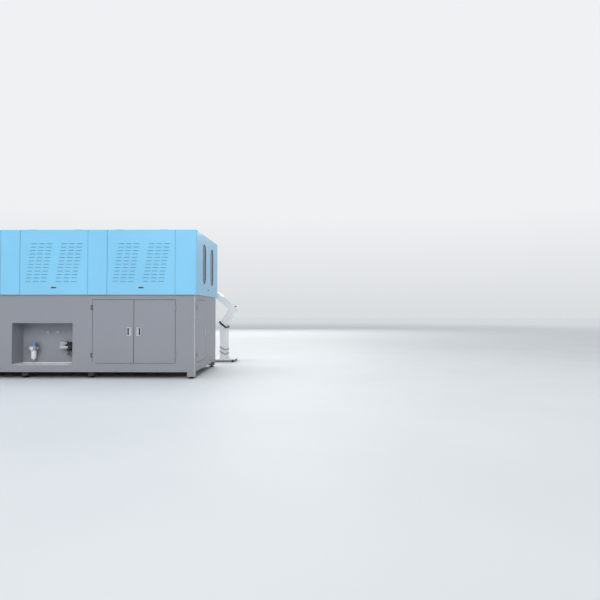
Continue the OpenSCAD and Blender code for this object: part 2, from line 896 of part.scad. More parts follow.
module slots() {
    for (row = [0:louvre_rows - 1], group = [0, 1], i = [0:louvre_group - 1])
        translate([slot_x(row, group, i), louvre_z0 + row * row_pitch]) children();
}

module hinged_pan(i) {
    translate([cover_x(i), 0, cover_z0]) children();
    cover_hinge_spots(i) hinge_moving(hinge_l, barrel_r, pin_r, 22);
}

module handle_hole() {
    block([-handle_w / 2 + 6, -1, -handle_h / 2 + 5], [handle_w / 2 - 6, sheet + 1, handle_h / 2 - 5]);
}

module louvre_cover(i) {
    color(blue) place() hinged_pan(i) {
        difference() {
            pan(cover_w, cover_h, cover_fold);
            rotate([90, 0, 0]) translate([0, 0, -sheet - 1]) linear_extrude(sheet + 2)
                slots() square([slot_l, slot_h]);
            translate([cover_w / 2, 0, handle_z - cover_z0]) handle_hole();
        }
        rotate([90, 0, 90]) lips();
        translate([cover_w / 2, 0, handle_z - cover_z0]) cover_handle();
    }
}

// Pressed lips over the slots, drawn in the YZ plane and run along X
module lips() {
    for (row = [0:louvre_rows - 1], group = [0, 1], i = [0:louvre_group - 1])
        translate([0, louvre_z0 + row * row_pitch + slot_h, slot_x(row, group, i)])
            linear_extrude(slot_l)
                polygon([[0, 3], [0, 0], [-lip_d + 1, -4], [-lip_d, -3]]);
}

module louvre_cover_a() {
    louvre_cover(1);
}

module louvre_cover_b() {
    louvre_cover(0);
}

module plain_cover() {
    color(blue) place() hinged_pan(2) {
        difference() {
            pan(cover_w, cover_h, cover_fold);
            translate([cover_w / 2, 0, handle_z - cover_z0]) handle_hole();
        }
        translate([cover_w / 2, 0, handle_z - cover_z0]) cover_handle();
    }
}

// Recessed pull: a rim on the face and a cup behind it
module cover_handle() {
    difference() {
        union() {
            block([-handle_w / 2, -2, -handle_h / 2], [handle_w / 2, 0, handle_h / 2]);
            block([-handle_w / 2 + 6.5, -1, -handle_h / 2 + 5.5], [handle_w / 2 - 6.5, 16, handle_h / 2 - 5.5]);
        }
        block([-handle_w / 2 + 8, -3, -handle_h / 2 + 7], [handle_w / 2 - 8, 14, handle_h / 2 - 7]);
    }
}

// The aisle end's cover, in the XZ plane before it is turned to face the aisle
module window_spots() {
    for (x = [end_cover_w * 0.3, end_cover_w * 0.71])
        translate([x, window_z - cover_z0 + window_h / 2]) children();
}

module stadium(w, h) {
    square([w, h - w], center = true);
    for (s = [-1, 1])
        translate([0, s * (h - w) / 2]) circle(r = w / 2);
}

module end_cover_frame() {
    translate([machine_l, end_cover_y0, cover_z0]) rotate([0, 0, 90]) children();
}

module end_cover() {
    color(blue) place() {
        end_cover_frame() {
            difference() {
                pan(end_cover_w, cover_h, cover_fold);
                rotate([90, 0, 0]) translate([0, 0, -sheet - 1]) linear_extrude(sheet + 2)
                    window_spots() stadium(window_w, window_h);
                translate([end_cover_w / 2, 0, handle_z - cover_z0]) handle_hole();
            }
            translate([end_cover_w / 2, 0, handle_z - cover_z0]) cover_handle();
        }
        end_hinge_spots() hinge_moving(hinge_l, barrel_r, pin_r, 22);
    }
}

module end_windows() {
    color([0.08, 0.10, 0.14]) place() end_cover_frame()
        rotate([90, 0, 0]) translate([0, 0, -sheet - 4]) linear_extrude(4)
            window_spots() stadium(window_w + 24, window_h + 24);
}

module pressure_gauges() {
    color(white) place()
        for (z = gauge_z) {
            rod_y(gauge_x, machine_w, machine_w + 22, z, 32);
            difference() {
                rod_y(gauge_x, machine_w + 21, machine_w + 27, z, 34);
                rod_y(gauge_x, machine_w + 23, machine_w + 28, z, 29);
            }
        }
}

module pressure_knob(z) {
    color(dark) place() translate([knob_x, machine_w, z]) difference() {
        union() {
            rod_y(0, 3 + seat_gap, 12, 0, 22);
            rod_y(0, 11, 34, 0, 18);
            for (a = [15:30:345])
                rotate([0, a, 0]) block([16, 14, -2], [20, 31, 2]);
        }
        rod_y(0, -5, 16, 0, 5 + fit);
    }
}

module pressure_knob_top() {
    pressure_knob(gauge_z[2]);
}

module pressure_knob_middle() {
    pressure_knob(gauge_z[1]);
}

module pressure_knob_bottom() {
    pressure_knob(gauge_z[0]);
}

// Ring round both wheels, seen from above
module loop_area(r) {
    translate([wheel_x0, wheel_y - r]) square([wheel_span, 2 * r]);
    for (x = [wheel_x0, wheel_x1])
        translate([x, wheel_y]) circle(r = r, $fn = 96);
}

module loop_ring(r_out, r_in, z0, z1) {
    translate([0, 0, z0]) linear_extrude(z1 - z0)
        difference() {
            loop_area(r_out);
            loop_area(r_in);
        }
}

// Fixed track under the chain, on posts that stand beside the wheels' bearings
module chain_track() {
    color(steel) place() loop_ring(track_r + 22, track_r - 24, track_z, track_z + track_t);
}

module track_posts() {
    color(steel) place() {
        for (x = [wheel_x0 + 60, (wheel_x0 + wheel_x1) / 2, wheel_x1 - 60], s = [-1, 1])
            rod_z(x, wheel_y + s * track_r, table_z, track_z, 18);
        for (x = [wheel_x0, wheel_x1])
            translate([x, wheel_y, 0]) difference() {
                union() {
                    rod_z(0, 0, table_z, table_z + 12, 80);
                    rod_z(0, 0, table_z, table_z + 90, 48);
                }
                rod_z(0, 0, table_z + 4, table_z + 95, 25 + fit);
            }
    }
}

// Point on the chain's pitch line at a distance along it, with its heading
function loop_spot(s) =
    let (arc = PI * chain_r)
    s < wheel_span ? [wheel_x0 + s, run_back_y, 0]
    : s < wheel_span + arc ?
        let (a = (s - wheel_span) / chain_r * 180 / PI)
        [wheel_x1 + chain_r * sin(a), wheel_y - chain_r * cos(a), a]
    : s < 2 * wheel_span + arc ? [wheel_x1 - (s - wheel_span - arc), run_front_y, 180]
    : let (a = (s - 2 * wheel_span - arc) / chain_r * 180 / PI)
        [wheel_x0 - chain_r * sin(a), wheel_y + chain_r * cos(a), 180 + a];

module on_chain(i) {
    spot = loop_spot((i + 0.5) * chain_pitch);
    translate([spot[0], spot[1], 0]) rotate([0, 0, spot[2]]) children();
}

// Two side plates from one chain pin to the next, the even links outside the odd ones
module chain_link(i) {
    from = loop_spot((i + 0.5) * chain_pitch);
    to = loop_spot((i + 1.5) * chain_pitch);
    run = [to[0] - from[0], to[1] - from[1]];
    first_z = chain_z + (i % 2 == 0 ? 1 : 4.5);
    for (z = [first_z, 2 * chain_z + chain_t - first_z - 3])
        translate([(from[0] + to[0]) / 2, (from[1] + to[1]) / 2, z])
            rotate([0, 0, atan2(run[1], run[0]) - 90])
                linear_extrude(3) stadium(2 * link_half, norm(run) + 2 * link_half);
}

module preform_chain() {
    color(brass) place()
        for (i = [0:carrier_n - 1]) {
            chain_link(i);
            on_chain(i) {
                rod_z(0, 0, chain_z, spindle_z + spindle_l, spindle_r - 4);
                rod_z(0, 0, spindle_z + 4, spindle_z + spindle_l - 2, spindle_r);
                rod_z(0, 0, spindle_z + 5, spindle_z + 14, spindle_r + 7);
                block([-22, -36, spindle_z - 0.5], [22, 17, spindle_z + 6]);
                rod_z(0, -26, chain_z + 0.5, spindle_z, 8);
            }
        }
}

module chain_wheel(x) {
    color(steel) place() translate([x, wheel_y, 0]) difference() {
        union() {
            rod_z(0, 0, chain_z, chain_z + chain_t - 2, wheel_r);
            rod_z(0, 0, chain_z - 24, chain_z + 40, 60);
            rod_z(0, 0, table_z + 4 + seat_gap, chain_z + 60, 25);
        }
        for (a = [0:wheel_notches - 1])
            rotate([0, 0, a * 360 / wheel_notches]) rod_z(wheel_r, 0, chain_z - 1, chain_z + 40, 8);
        for (a = [0:60:300])
            rotate([0, 0, a]) rod_z(wheel_r * 0.62, 0, chain_z - 1, chain_z + 40, 42);
    }
}

module chain_wheel_left() {
    chain_wheel(wheel_x0);
}

module chain_wheel_right() {
    chain_wheel(wheel_x1);
}

// A preform standing on its neck: thread end down, round end up
module preform() {
    rotate_extrude() polygon([
        [spindle_r + 0.5, 0], [13, 0], [13, 14], [17, 14], [17, 18], [13, 20], [13, 88],
        [11, 96], [6, 101], [0, 102], [0, 98], [5, 97], [spindle_r, 90], [spindle_r + 0.5, 88]
    ]);
}

module preforms() {
    first = ceil((oven_x0 - wheel_x0) / chain_pitch);
    color([0.75, 0.88, 0.92]) place()
        for (i = [first:first + floor(oven_l / chain_pitch) + 3])
            on_chain(i) translate([0, 0, spindle_z + 14 + seat_gap]) preform();
}

// Heating tunnel: lamp wall, reflector wall and roof over the chain's back run
module oven_housing() {
    inner_y = run_back_y + tunnel_w / 2;
    color(dark) place() {
        difference() {
            block([oven_x0, oven_y0, oven_z0], [oven_x0 + oven_l, inner_y + oven_wall, oven_z0 + oven_h]);
            block([oven_x0 - 1, run_back_y - tunnel_w / 2, oven_z0 - 1],
                  [oven_x0 + oven_l + 1, inner_y, oven_z0 + oven_h - 50]);
            for (i = [0:7])
                block([oven_x0 + 90 + i * 120, oven_y0 - 1, oven_z0 + 80],
                      [oven_x0 + 170 + i * 120, oven_y0 + 12, oven_z0 + 260]);
        }
        for (x = [oven_x0 + 160, oven_x0 + oven_l - 210], y = [oven_y0 + 5, inner_y + 5])
            block([x, y, table_z], [x + 50, y + oven_wall - 10, oven_z0 + 1]);
    }
}

module oven_lamps() {
    lamp_y = run_back_y - tunnel_w / 2 + 22;
    color([0.95, 0.85, 0.6]) place() {
        for (i = [0:lamp_n - 1])
            rod_x(oven_x0 + 20, oven_x0 + oven_l - 20, lamp_y, oven_z0 + 40 + i * 38, 6);
        for (x = [oven_x0 + 12, oven_x0 + oven_l - 32])
            block([x, lamp_y - 22, oven_z0 + 22], [x + 20, lamp_y + 10, oven_z0 + 40 + lamp_n * 38]);
    }
}

module at_cylinders() {
    for (x = [clamp_x0 + clamp_l / 2])
        translate([x, 0, clamp_z0 + clamp_h / 2]) children();
}

// Mirrors a clamp half from the back side to the operator side
module to_side(s) {
    translate([0, clamp_y, 0]) mirror([0, s > 0 ? 1 : 0, 0]) translate([0, -clamp_y, 0]) children();
}

module clamp_frame() {
    color(steel) place() {
        for (s = [-1, 1])
            to_side(s) {
                difference() {
                    block([clamp_x0, end_plate_out, table_z + 30], [clamp_x1, end_plate_in, clamp_z0 + clamp_h]);
                    at_cylinders() rod_y(0, 0, 2 * clamp_y, 0, rod_r + fit);
                }
                at_cylinders() difference() {
                    rod_y(0, end_plate_out - cylinder_l, end_plate_out + 1, 0, cylinder_r);
                    rod_y(0, end_plate_out - cylinder_l + 12, end_plate_out + 2, 0, cylinder_r - 22);
                }
            }
        for (x = tie_x, z = tie_z)
            rod_y(x, end_plate_in - 1, 2 * clamp_y - end_plate_in + 1, z, tie_r);
        for (x = tie_x)
            block([x - 40, end_plate_out, table_z], [x + 40, 2 * clamp_y - end_plate_out, table_z + 31]);
    }
}

function bottle_outline() = [
    [0, 0], [bottle_r, 0], [bottle_r, bottle_h * 0.7], [14, bottle_h], [14, mould_h], [0, mould_h]
];

module mould_half(s) {
    color(steel) place() to_side(s) {
        difference() {
            block([clamp_x0 + 8, platen_back, table_z + 42], [clamp_x1 - 8, platen_back + platen_t, clamp_z0 + clamp_h - 8]);
            for (x = tie_x, z = tie_z)
                rod_y(x, 0, 2 * clamp_y, z, tie_r + fit);
        }
        difference() {
            block([mould_x0, platen_back + platen_t - 1, mould_z0],
                  [mould_x0 + mould_l, clamp_y - seat_gap / 2, mould_top]);
            for (i = [0:cavity_n - 1])
                translate([mould_x0 + (i + 0.5) * cavity_pitch, clamp_y, mould_z0 + 30])
                    rotate_extrude() polygon(bottle_outline());
        }
        at_cylinders() rod_y(0, end_plate_out - 5, platen_back + 1, 0, rod_r);
    }
}

module mould_half_back() {
    mould_half(-1);
}

module mould_half_front() {
    mould_half(1);
}

module stretch_portal() {
    color(dark) place() {
        for (x = [portal_x0, portal_x1])
            block([x, clamp_y - 35, table_z], [x + portal_w, clamp_y + 35, bridge_z + 1]);
        difference() {
            block([portal_x0, clamp_y - 60, bridge_z], [portal_x1 + portal_w, clamp_y + 60, bridge_z + bridge_t]);
            rod_z(mould_x0 + mould_l / 2, clamp_y, bridge_z - 1, bridge_z + bridge_t + 1, 8 + fit);
        }
        for (x = guide_x) {
            rod_z(x, clamp_y, mould_top + 110, bridge_z + 1, guide_r);
            rod_z(x, clamp_y, mould_top + 100, mould_top + 115, guide_r + 5);
        }
        translate([mould_x0 + mould_l / 2, clamp_y, 0]) difference() {
            rod_z(0, 0, bridge_z + bridge_t - 1, ring_z - 10, 28);
            rod_z(0, 0, bridge_z, ring_z - 20, 18);
        }
    }
}

module stretch_head() {
    color(steel) place() {
        difference() {
            block([mould_x0 + 4, clamp_y - 50, head_z], [mould_x0 + mould_l - 4, clamp_y + 50, head_z + 30]);
            for (x = guide_x)
                rod_z(x, clamp_y, head_z - 1, head_z + 31, guide_r + fit);
        }
        for (i = [0:cavity_n - 1])
            translate([mould_x0 + (i + 0.5) * cavity_pitch, clamp_y, 0]) {
                rod_z(0, 0, nozzle_tip, head_z + 1, nozzle_r);
                rod_z(0, 0, head_z - 45, head_z + 1, 22);
            }
        rod_z(mould_x0 + mould_l / 2, clamp_y, head_z + 29, bridge_z + bridge_t + 6, 8);
    }
}

// Rail with a carriage that hands preforms from the chain to the mould
module transfer_rail() {
    color(dark) place() {
        block([carriage_x - 40, rail_y, rail_z], [carriage_x + carriage_l + transfer_stroke + 20, rail_y + 40, rail_z + rail_h]);
        for (x = [carriage_x - 20, carriage_x + carriage_l + transfer_stroke - 40])
            block([x, rail_y, table_z], [x + 40, rail_y + 40, rail_z + 1]);
    }
}

module transfer_carriage() {
    arm_pitch = carriage_l / cavity_n;
    color(brass) place() translate([carriage_x, rail_y, rail_z]) {
        difference() {
            block([0, -carriage_t, -10], [carriage_l, 40 + carriage_t, rail_h + carriage_t]);
            block([-1, -seat_gap, -11], [carriage_l + 1, 40 + seat_gap, rail_h + seat_gap]);
        }
        block([0, -carriage_t, rail_h + carriage_t - 1], [carriage_l, 0, arm_z - rail_z + 12]);
        for (i = [0:cavity_n - 1])
            translate([(i + 0.5) * arm_pitch, 0, arm_z - rail_z]) difference() {
                block([-16, -90, 0], [16, -carriage_t + 1, 12]);
                rod_z(0, -70, -1, 13, 11);
                block([-8, -91, -1], [8, -70, 13]);
            }
    }
}

// Side outline of the console: column, leaning neck and sloping head
function console_outline() = [
    [0, foot_z + foot_t], [console_t, foot_z + foot_t],
    [console_t, bend_z - 25], [elbow_x + console_t + 12, elbow_z],
    [elbow_x + console_t + 12 - head_dx, elbow_z + head_dz],
    [elbow_x + console_t + 12 - head_dx - console_t * sin(head_a), elbow_z + head_dz - console_t * cos(head_a)],
    [elbow_x - 12, elbow_z - 20], [0, bend_z + 25]
];

module in_head() {
    translate([elbow_x1, console_y, elbow_z]) rotate([0, head_a, 0]) mirror([1, 0, 0]) children();
}

module console_column() {
    color(white) place() {
        difference() {
            translate([console_x, console_y + console_w / 2, 0]) rotate([90, 0, 0])
                linear_extrude(console_w) polygon(console_outline());
            in_head() {
                block([screen_from, -screen_w / 2, -6], [screen_from + screen_l, screen_w / 2, 9]);
                for (y = [-70, 70])
                    translate([35, y, 0]) rod_z(0, 0, -30, 9, 9 + fit);
            }
        }
        translate([0, 0, foot_z]) linear_extrude(foot_t)
            rounded_area(foot_x0, console_y - foot_w / 2, foot_x0 + foot_l, console_y + foot_w / 2, 30);
        for (x = [foot_x0 + 45, foot_x0 + foot_l - 45], y = [console_y - foot_w / 2 + 40, console_y + foot_w / 2 - 40]) {
            rod_z(x, y, caster_r + 4, foot_z + 1, 9);
            rod_y(x, y - 11, y + 11, caster_r, caster_r);
        }
    }
}

module console_screen() {
    color([0.05, 0.06, 0.08]) place() in_head()
        block([screen_from + seat_gap, -screen_w / 2 + seat_gap, -6],
              [screen_from + screen_l - seat_gap, screen_w / 2 - seat_gap, 3]);
}

module push_button(y, head) {
    in_head() translate([35, y, 0]) {
        rod_z(0, 0, -20, 7, 9);
        rod_z(0, 0, 6, 18, head);
    }
}

module emergency_stop() {
    color([0.8, 0.1, 0.08]) place() push_button(-70, 20);
}

module start_button() {
    color([0.1, 0.6, 0.25]) place() push_button(70, 13);
}

// Turns of cable wound round the column, tilted as they hang
module cable_turn(z, h, tilt) {
    low = (console_t / 2 + h * sin(tilt) + seat_gap) / cos(tilt);
    high = (console_t / 2 + seat_gap) / cos(tilt);
    side = console_w / 2 + seat_gap;
    translate([console_x + console_t / 2, console_y, z]) rotate([0, tilt, 0])
        linear_extrude(h) difference() {
            rounded_area(-low - 9, -side - 9, high + 9, side + 9, 12);
            rounded_area(-low, -side, high, side, 3);
        }
}

module console_cable() {
    color(dark) place() {
        cable_turn(bend_z - 25, 30, 40);
        cable_turn(250, 9, 30);
        cable_turn(170, 9, 30);
    }
}

base_frame();
cross_rails();
levelling_feet();
back_panel();
base_panels();
machine_table();
service_recess();
filter_regulator();
filter_bowl();
filter_knob();
air_fittings();
valve_lever();
air_receiver();
control_gear();
back_door_left();
back_door_right();
back_latch_left();
back_latch_right();
back_paddle_left();
back_paddle_right();
end_door();
end_paddle();
operator_door_left();
operator_door_right();
operator_paddle_left();
operator_paddle_right();
fixed_hinges();
guard_frame();
guard_strips();
roof_panel();
operator_beam();
louvre_cover_a();
louvre_cover_b();
plain_cover();
end_cover();
end_windows();
pressure_gauges();
pressure_knob_top();
pressure_knob_middle();
pressure_knob_bottom();
chain_track();
track_posts();
preform_chain();
chain_wheel_left();
chain_wheel_right();
preforms();
oven_housing();
oven_lamps();
clamp_frame();
mould_half_back();
mould_half_front();
stretch_portal();
stretch_head();
transfer_rail();
transfer_carriage();
console_column();
console_screen();
emergency_stop();
start_button();
console_cable();
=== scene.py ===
import math

import bmesh
import bpy
from mathutils import Matrix, Vector


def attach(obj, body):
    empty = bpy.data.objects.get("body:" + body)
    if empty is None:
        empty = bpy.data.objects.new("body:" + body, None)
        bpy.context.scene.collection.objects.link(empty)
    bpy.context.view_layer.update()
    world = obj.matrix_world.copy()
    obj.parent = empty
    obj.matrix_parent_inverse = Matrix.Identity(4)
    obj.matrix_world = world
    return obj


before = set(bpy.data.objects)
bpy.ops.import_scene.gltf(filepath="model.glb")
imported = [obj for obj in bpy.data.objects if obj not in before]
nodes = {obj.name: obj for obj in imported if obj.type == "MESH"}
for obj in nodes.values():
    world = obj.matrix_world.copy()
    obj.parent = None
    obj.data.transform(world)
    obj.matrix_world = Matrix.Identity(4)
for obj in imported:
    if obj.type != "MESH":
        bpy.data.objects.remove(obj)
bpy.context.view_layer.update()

scene = bpy.context.scene

# Camera and studio
# The machine is seen close and level from its back and aisle end, as in the photograph. The studio
# is a pale floor and sky, with large soft lamps on all four sides and above.
EYE = Vector((3.400, -8.440, 0.950))
EYE_TURN = math.radians(0.52)
EYE_TILT = math.radians(1.245)
EYE_FOCAL_PX = 505.1
FRAME_PX = 600
SENSOR_MM = 36.0

camera_data = bpy.data.cameras.new("photo_camera")
camera_data.sensor_width = SENSOR_MM
camera_data.lens = SENSOR_MM * EYE_FOCAL_PX / FRAME_PX
camera_data.clip_end = 200.0
camera = bpy.data.objects.new("photo_camera", camera_data)
camera.location = EYE
camera.rotation_euler = (math.pi / 2 + EYE_TILT, 0.0, EYE_TURN)
scene.collection.objects.link(camera)
scene.camera = camera
scene.view_settings.view_transform = "Standard"


def soft_lamp(name, place, aim, size, watts, tint=(1.0, 1.0, 1.0), mirrored=True):
    """A large rectangular lamp. Unless it is mirrored, glossy faces don't show its image."""
    lamp = bpy.data.lights.new(name, "AREA")
    lamp.shape = "RECTANGLE"
    lamp.size, lamp.size_y = size
    lamp.energy = watts
    lamp.color = tint
    holder = bpy.data.objects.new(name, lamp)
    holder.location = place
    holder.rotation_euler = (Vector(aim) - Vector(place)).to_track_quat("-Z", "Y").to_euler()
    holder.visible_glossy = mirrored
    scene.collection.objects.link(holder)


for lamp_name, watts, shown in (("front_lamp", 400.0, True), ("front_fill", 1160.0, False)):
    soft_lamp(lamp_name, (3.0, -16.0, 8.0), (0.5, -1.0, 1.0), (14.0, 8.0), watts, mirrored=shown)
soft_lamp("roof_lamp", (0.0, 0.0, 8.0), (0.0, 0.0, 0.0), (10.0, 7.0), 260.0)
soft_lamp("aisle_lamp", (10.0, -2.0, 5.0), (1.9, 0.0, 1.2), (4.0, 4.0), 40.0, tint=(0.93, 0.96, 1.0))
soft_lamp("wall_lamp", (-12.0, 0.0, 6.0), (-2.1, 0.0, 1.0), (7.0, 6.0), 260.0)
soft_lamp("operator_lamp", (-1.0, 15.0, 8.0), (0.0, 0.5, 1.2), (14.0, 7.0), 950.0)


class Number:
    """A node's output that Python's arithmetic works on."""

    def __init__(self, plan, socket):
        self.plan, self.socket = plan, socket

    def maths(self, operation, *parts):
        return self.plan.node("ShaderNodeMath", {"operation": operation}, dict(enumerate(parts)))

    def __add__(self, other):
        return self.maths("ADD", self, other)

    def __rsub__(self, other):
        return self.maths("SUBTRACT", other, self)

    def __mul__(self, other):
        return self.maths("MULTIPLY", self, other)

    __radd__ = __add__
    __rmul__ = __mul__

    def __lt__(self, other):
        return self.maths("LESS_THAN", self, other)

    def __gt__(self, other):
        return self.maths("GREATER_THAN", self, other)

    def ramp(self, low, high):
        """0 below low, 1 above high, and straight between them."""
        return self.plan.node("ShaderNodeMapRange", {"clamp": True}, {0: self, 1: low, 2: high})


class Plan:
    """A node tree that is laid out by calls: a finish's shader, the sky, or a layout's geometry."""

    def __init__(self, tree):
        self.tree = tree

    def node(self, kind, settings, inputs, output=0):
        """Adds a node, its settings first and then the values or links of its sockets."""
        made = self.tree.nodes.new(kind)
        for name, value in settings.items():
            setattr(made, name, value)
        for slot, value in inputs.items():
            self.plug(value, made.inputs[slot])
        return Number(self, made.outputs[output])

    def plug(self, value, socket):
        if isinstance(value, Number):
            self.tree.links.new(value.socket, socket)
        else:
            socket.default_value = value

    def mix(self, factor, first, second):
        """The first colour where factor is 0 and the second where it is 1."""
        settings = {"data_type": "RGBA"}
        return self.node("ShaderNodeMix", settings, {0: factor, 6: first, 7: second}, 2)

    def axes(self, place):
        split = self.tree.nodes.new("ShaderNodeSeparateXYZ")
        self.plug(place, split.inputs[0])
        return [Number(self, output) for output in split.outputs]


class Finish(Plan):
    """A material on one Principled shader; fixed holds the sockets that stay the same all over."""

    def __init__(self, name, fixed):
        self.material = bpy.data.materials.new(name)
        self.material.use_nodes = True
        super().__init__(self.material.node_tree)
        self.shader = self.tree.nodes["Principled BSDF"]
        for socket, value in fixed.items():
            self.shader.inputs[socket].default_value = value

    def feed(self, socket, value):
        self.plug(value, self.shader.inputs[socket])

    def noise(self, place, scale, detail, roughness=0.5):
        inputs = {"Vector": place, "Scale": scale, "Detail": detail, "Roughness": roughness}
        return self.node("ShaderNodeTexNoise", {}, inputs)

    def place(self):
        return self.node("ShaderNodeTexCoord", {}, {}, "Object")

    def stretched(self, place, scale):
        return self.node("ShaderNodeMapping", {}, {"Vector": place, "Scale": scale})

    def bumps(self, height, distance, strength):
        inputs = {"Height": height, "Distance": distance, "Strength": strength}
        self.feed("Normal", self.node("ShaderNodeBump", {}, inputs))


def rgb(red, green, blue):
    """A colour as the eye reads it, 0 to 255, in the values that the shader works with."""
    return tuple((part / 255.0) ** 2.2 for part in (red, green, blue)) + (1.0,)


FLOOR_SIZE = 120.0
HAZE_START, HAZE_END = 9.0, 34.0
NO_HAZE, FULL_HAZE = (0.0, 0.0, 0.0, 1.0), (0.30, 0.31, 0.32, 1.0)
floor_finish = Finish("studio_floor",
                      {"Roughness": 0.6, "Specular IOR Level": 0.25, "Emission Strength": 1.0})
floor_place = floor_finish.place()
floor_cloud = floor_finish.noise(floor_place, 0.8, 5.0)
floor_reach = floor_finish.node("ShaderNodeVectorMath", {"operation": "LENGTH"}, {0: floor_place}, 1)
floor_haze = floor_finish.mix(floor_reach.ramp(HAZE_START, HAZE_END), NO_HAZE, FULL_HAZE)
floor_finish.feed("Base Color", floor_finish.mix(floor_cloud, rgb(222, 226, 228), rgb(232, 235, 236)))
floor_finish.feed("Emission Color", floor_haze)
bpy.ops.mesh.primitive_plane_add(size=FLOOR_SIZE, location=(0.0, 0.0, 0.0))
floor = bpy.context.object
floor.name = "studio_floor"
floor.data.materials.append(floor_finish.material)

WALL_SIDE_LIGHT, AISLE_SIDE_LIGHT = (0.86, 0.89, 0.93, 1.0), (0.26, 0.29, 0.34, 1.0)
HORIZON, ZENITH = rgb(218, 221, 224), rgb(238, 240, 242)
sky = bpy.data.worlds.new("studio_sky")
sky.use_nodes = True
scene.world = sky
sky_plan = Plan(sky.node_tree)
ray_along, _, ray_height = sky_plan.axes(sky_plan.node("ShaderNodeTexCoord", {}, {}, "Generated"))
dome = sky_plan.mix(ray_along.ramp(-0.1, 0.5), WALL_SIDE_LIGHT, AISLE_SIDE_LIGHT)
lit = sky_plan.node("ShaderNodeBackground", {}, {"Color": dome, "Strength": 0.55})
backdrop = sky_plan.mix(ray_height.ramp(0.0, 0.18), HORIZON, ZENITH)
seen = sky_plan.node("ShaderNodeBackground", {}, {"Color": backdrop, "Strength": 1.0})
direct, mirrored, refracted = [sky_plan.node("ShaderNodeLightPath", {}, {}, ray_kind)
                               for ray_kind in ("Is Camera Ray", "Is Glossy Ray", "Is Transmission Ray")]
both = sky_plan.node("ShaderNodeMixShader", {}, {0: direct + mirrored + refracted > 0.5, 1: lit, 2: seen})
sky_plan.plug(both, sky.node_tree.nodes["World Output"].inputs["Surface"])

# Base frame and feet
# Square steel tube welded into a table-high frame, in the base's grey powder coat with settled
# dust low down and a highlight painted down its aisle-side back corner, on eight levelling feet
# of steel coloured near black as painted shade, so that they sink into the shadow under the skirt.
BOX_CENTRE_X, BOX_CENTRE_Y = 2112.0, 1392.5


def at(x, y, z):
    """A point in mm: x from the wall end, y from the guard's back, z from the floor."""
    return Vector((x - BOX_CENTRE_X, y - BOX_CENTRE_Y, z)) / 1000.0


def dress(finish, *names):
    """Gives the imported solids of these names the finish."""
    for name in names:
        mesh = nodes[name].data
        mesh.materials.clear()
        mesh.materials.append(finish.material)


def shade(colour, factor):
    """The colour made darker or lighter, but never as light as pure white."""
    brightest = 0.95
    return tuple(min(part * factor, brightest) for part in colour[:3]) + (1.0,)


def coated(name, colour, roughness, coat=0.0, dust=0.0, painted_corner_highlight=False):
    """Powder coat: clouded colour, orange peel, dust thinning out with height, a painted corner highlight.
    """
    dust_low, dust_high = 0.05, 0.75
    peel_depth, peel_strength = 0.00010, 0.35
    paint = Finish(name, {"Coat Roughness": 0.10, "Coat Weight": coat})
    place = paint.place()
    cloud = paint.noise(place, 1.1, 4.0, 0.55)
    speck = paint.noise(place, 14.0, 6.0, 0.65)
    along, depth, height = paint.axes(place)
    level = paint.axes(paint.node("ShaderNodeNewGeometry", {}, {}, "Normal"))[2].ramp(0.8, 0.98)
    tone = paint.mix(cloud, shade(colour, 0.92), shade(colour, 1.08))
    settled = (1.0 - height.ramp(dust_low, dust_high)) * (speck + level * 1.2) * dust
    dust_and_corner_highlight = paint.mix(settled, tone, rgb(150, 148, 142))
    # A pale streak painted down the aisle-side back corner: a painted highlight for the light on its fold.
    if painted_corner_highlight:
        corner_x, corner_y, _ = at(3966, 34, 0)
        corner = (along > corner_x) * (depth < corner_y) * speck.ramp(0.25, 0.55)
        dust_and_corner_highlight = paint.mix(corner, dust_and_corner_highlight, rgb(206, 208, 212))
    paint.feed("Base Color", dust_and_corner_highlight)
    paint.feed("Roughness", cloud * 0.16 + speck * 0.08 + settled * 0.3 + (roughness - 0.12))
    paint.bumps(paint.noise(place, 420.0, 2.0, 0.5), peel_depth, peel_strength)
    return paint


def bare(name, dark, light, roughness, spread, scale, stretch=(1.0, 1.0, 1.0), scratch=0.0):
    """Bare or plated metal: a tone between two colours, smears in the gloss, and machining marks."""
    metal = Finish(name, {"Metallic": 1.0})
    place = metal.stretched(metal.place(), stretch)
    smear = metal.noise(place, scale, 4.0, 0.6)
    metal.feed("Base Color", metal.mix(smear, dark, light))
    metal.feed("Roughness", smear * spread + roughness)
    if scratch:
        metal.bumps(metal.noise(place, scale * 9.0, 3.0, 0.6), scratch, 0.4)
    return metal


GREY = rgb(146, 148, 156)
# The base's coat has a highlight painted down its aisle-side back corner.
grey_coat = coated("grey_coat", GREY, 0.38, 0.15, 0.35, painted_corner_highlight=True)
zinc = bare("zinc_plate", rgb(150, 150, 146), rgb(196, 198, 198), 0.28, 0.2, 55.0)
# The feet are coloured near black as painted shade, so that they vanish in the shadow under the skirt.
foot_steel = bare("foot_steel", rgb(40, 41, 43), rgb(66, 67, 70), 0.45, 0.2, 60.0)
dress(grey_coat, "base_frame")
dress(foot_steel, "levelling_feet")

# Base skins and table
# Sheet steel panels folded over the frame and powder coated with it. Cap screws hold the wall
# end's skin, and the earth bolt stands near the back skin's lower edge. The table is black.
up = (0.0, 0.0, 1.0)
up_axis = Vector(up)
to_back, to_front = (0.0, -1.0, 0.0), (0.0, 1.0, 0.0)
to_aisle, to_wall = (1.0, 0.0, 0.0), (-1.0, 0.0, 0.0)


def moulded(name, dark, light, roughness, grain=380.0, coat=0.0):
    """Moulded plastic or rubber: a fine grain in the colour, the gloss and the surface."""
    plastic = Finish(name, {"Coat Weight": coat, "Coat Roughness": 0.08})
    texture = plastic.noise(plastic.place(), grain, 2.0)
    plastic.feed("Base Color", plastic.mix(texture, dark, light))
    plastic.feed("Roughness", texture * 0.14 + (roughness - 0.07))
    plastic.bumps(texture, 0.00006, 0.4)
    return plastic


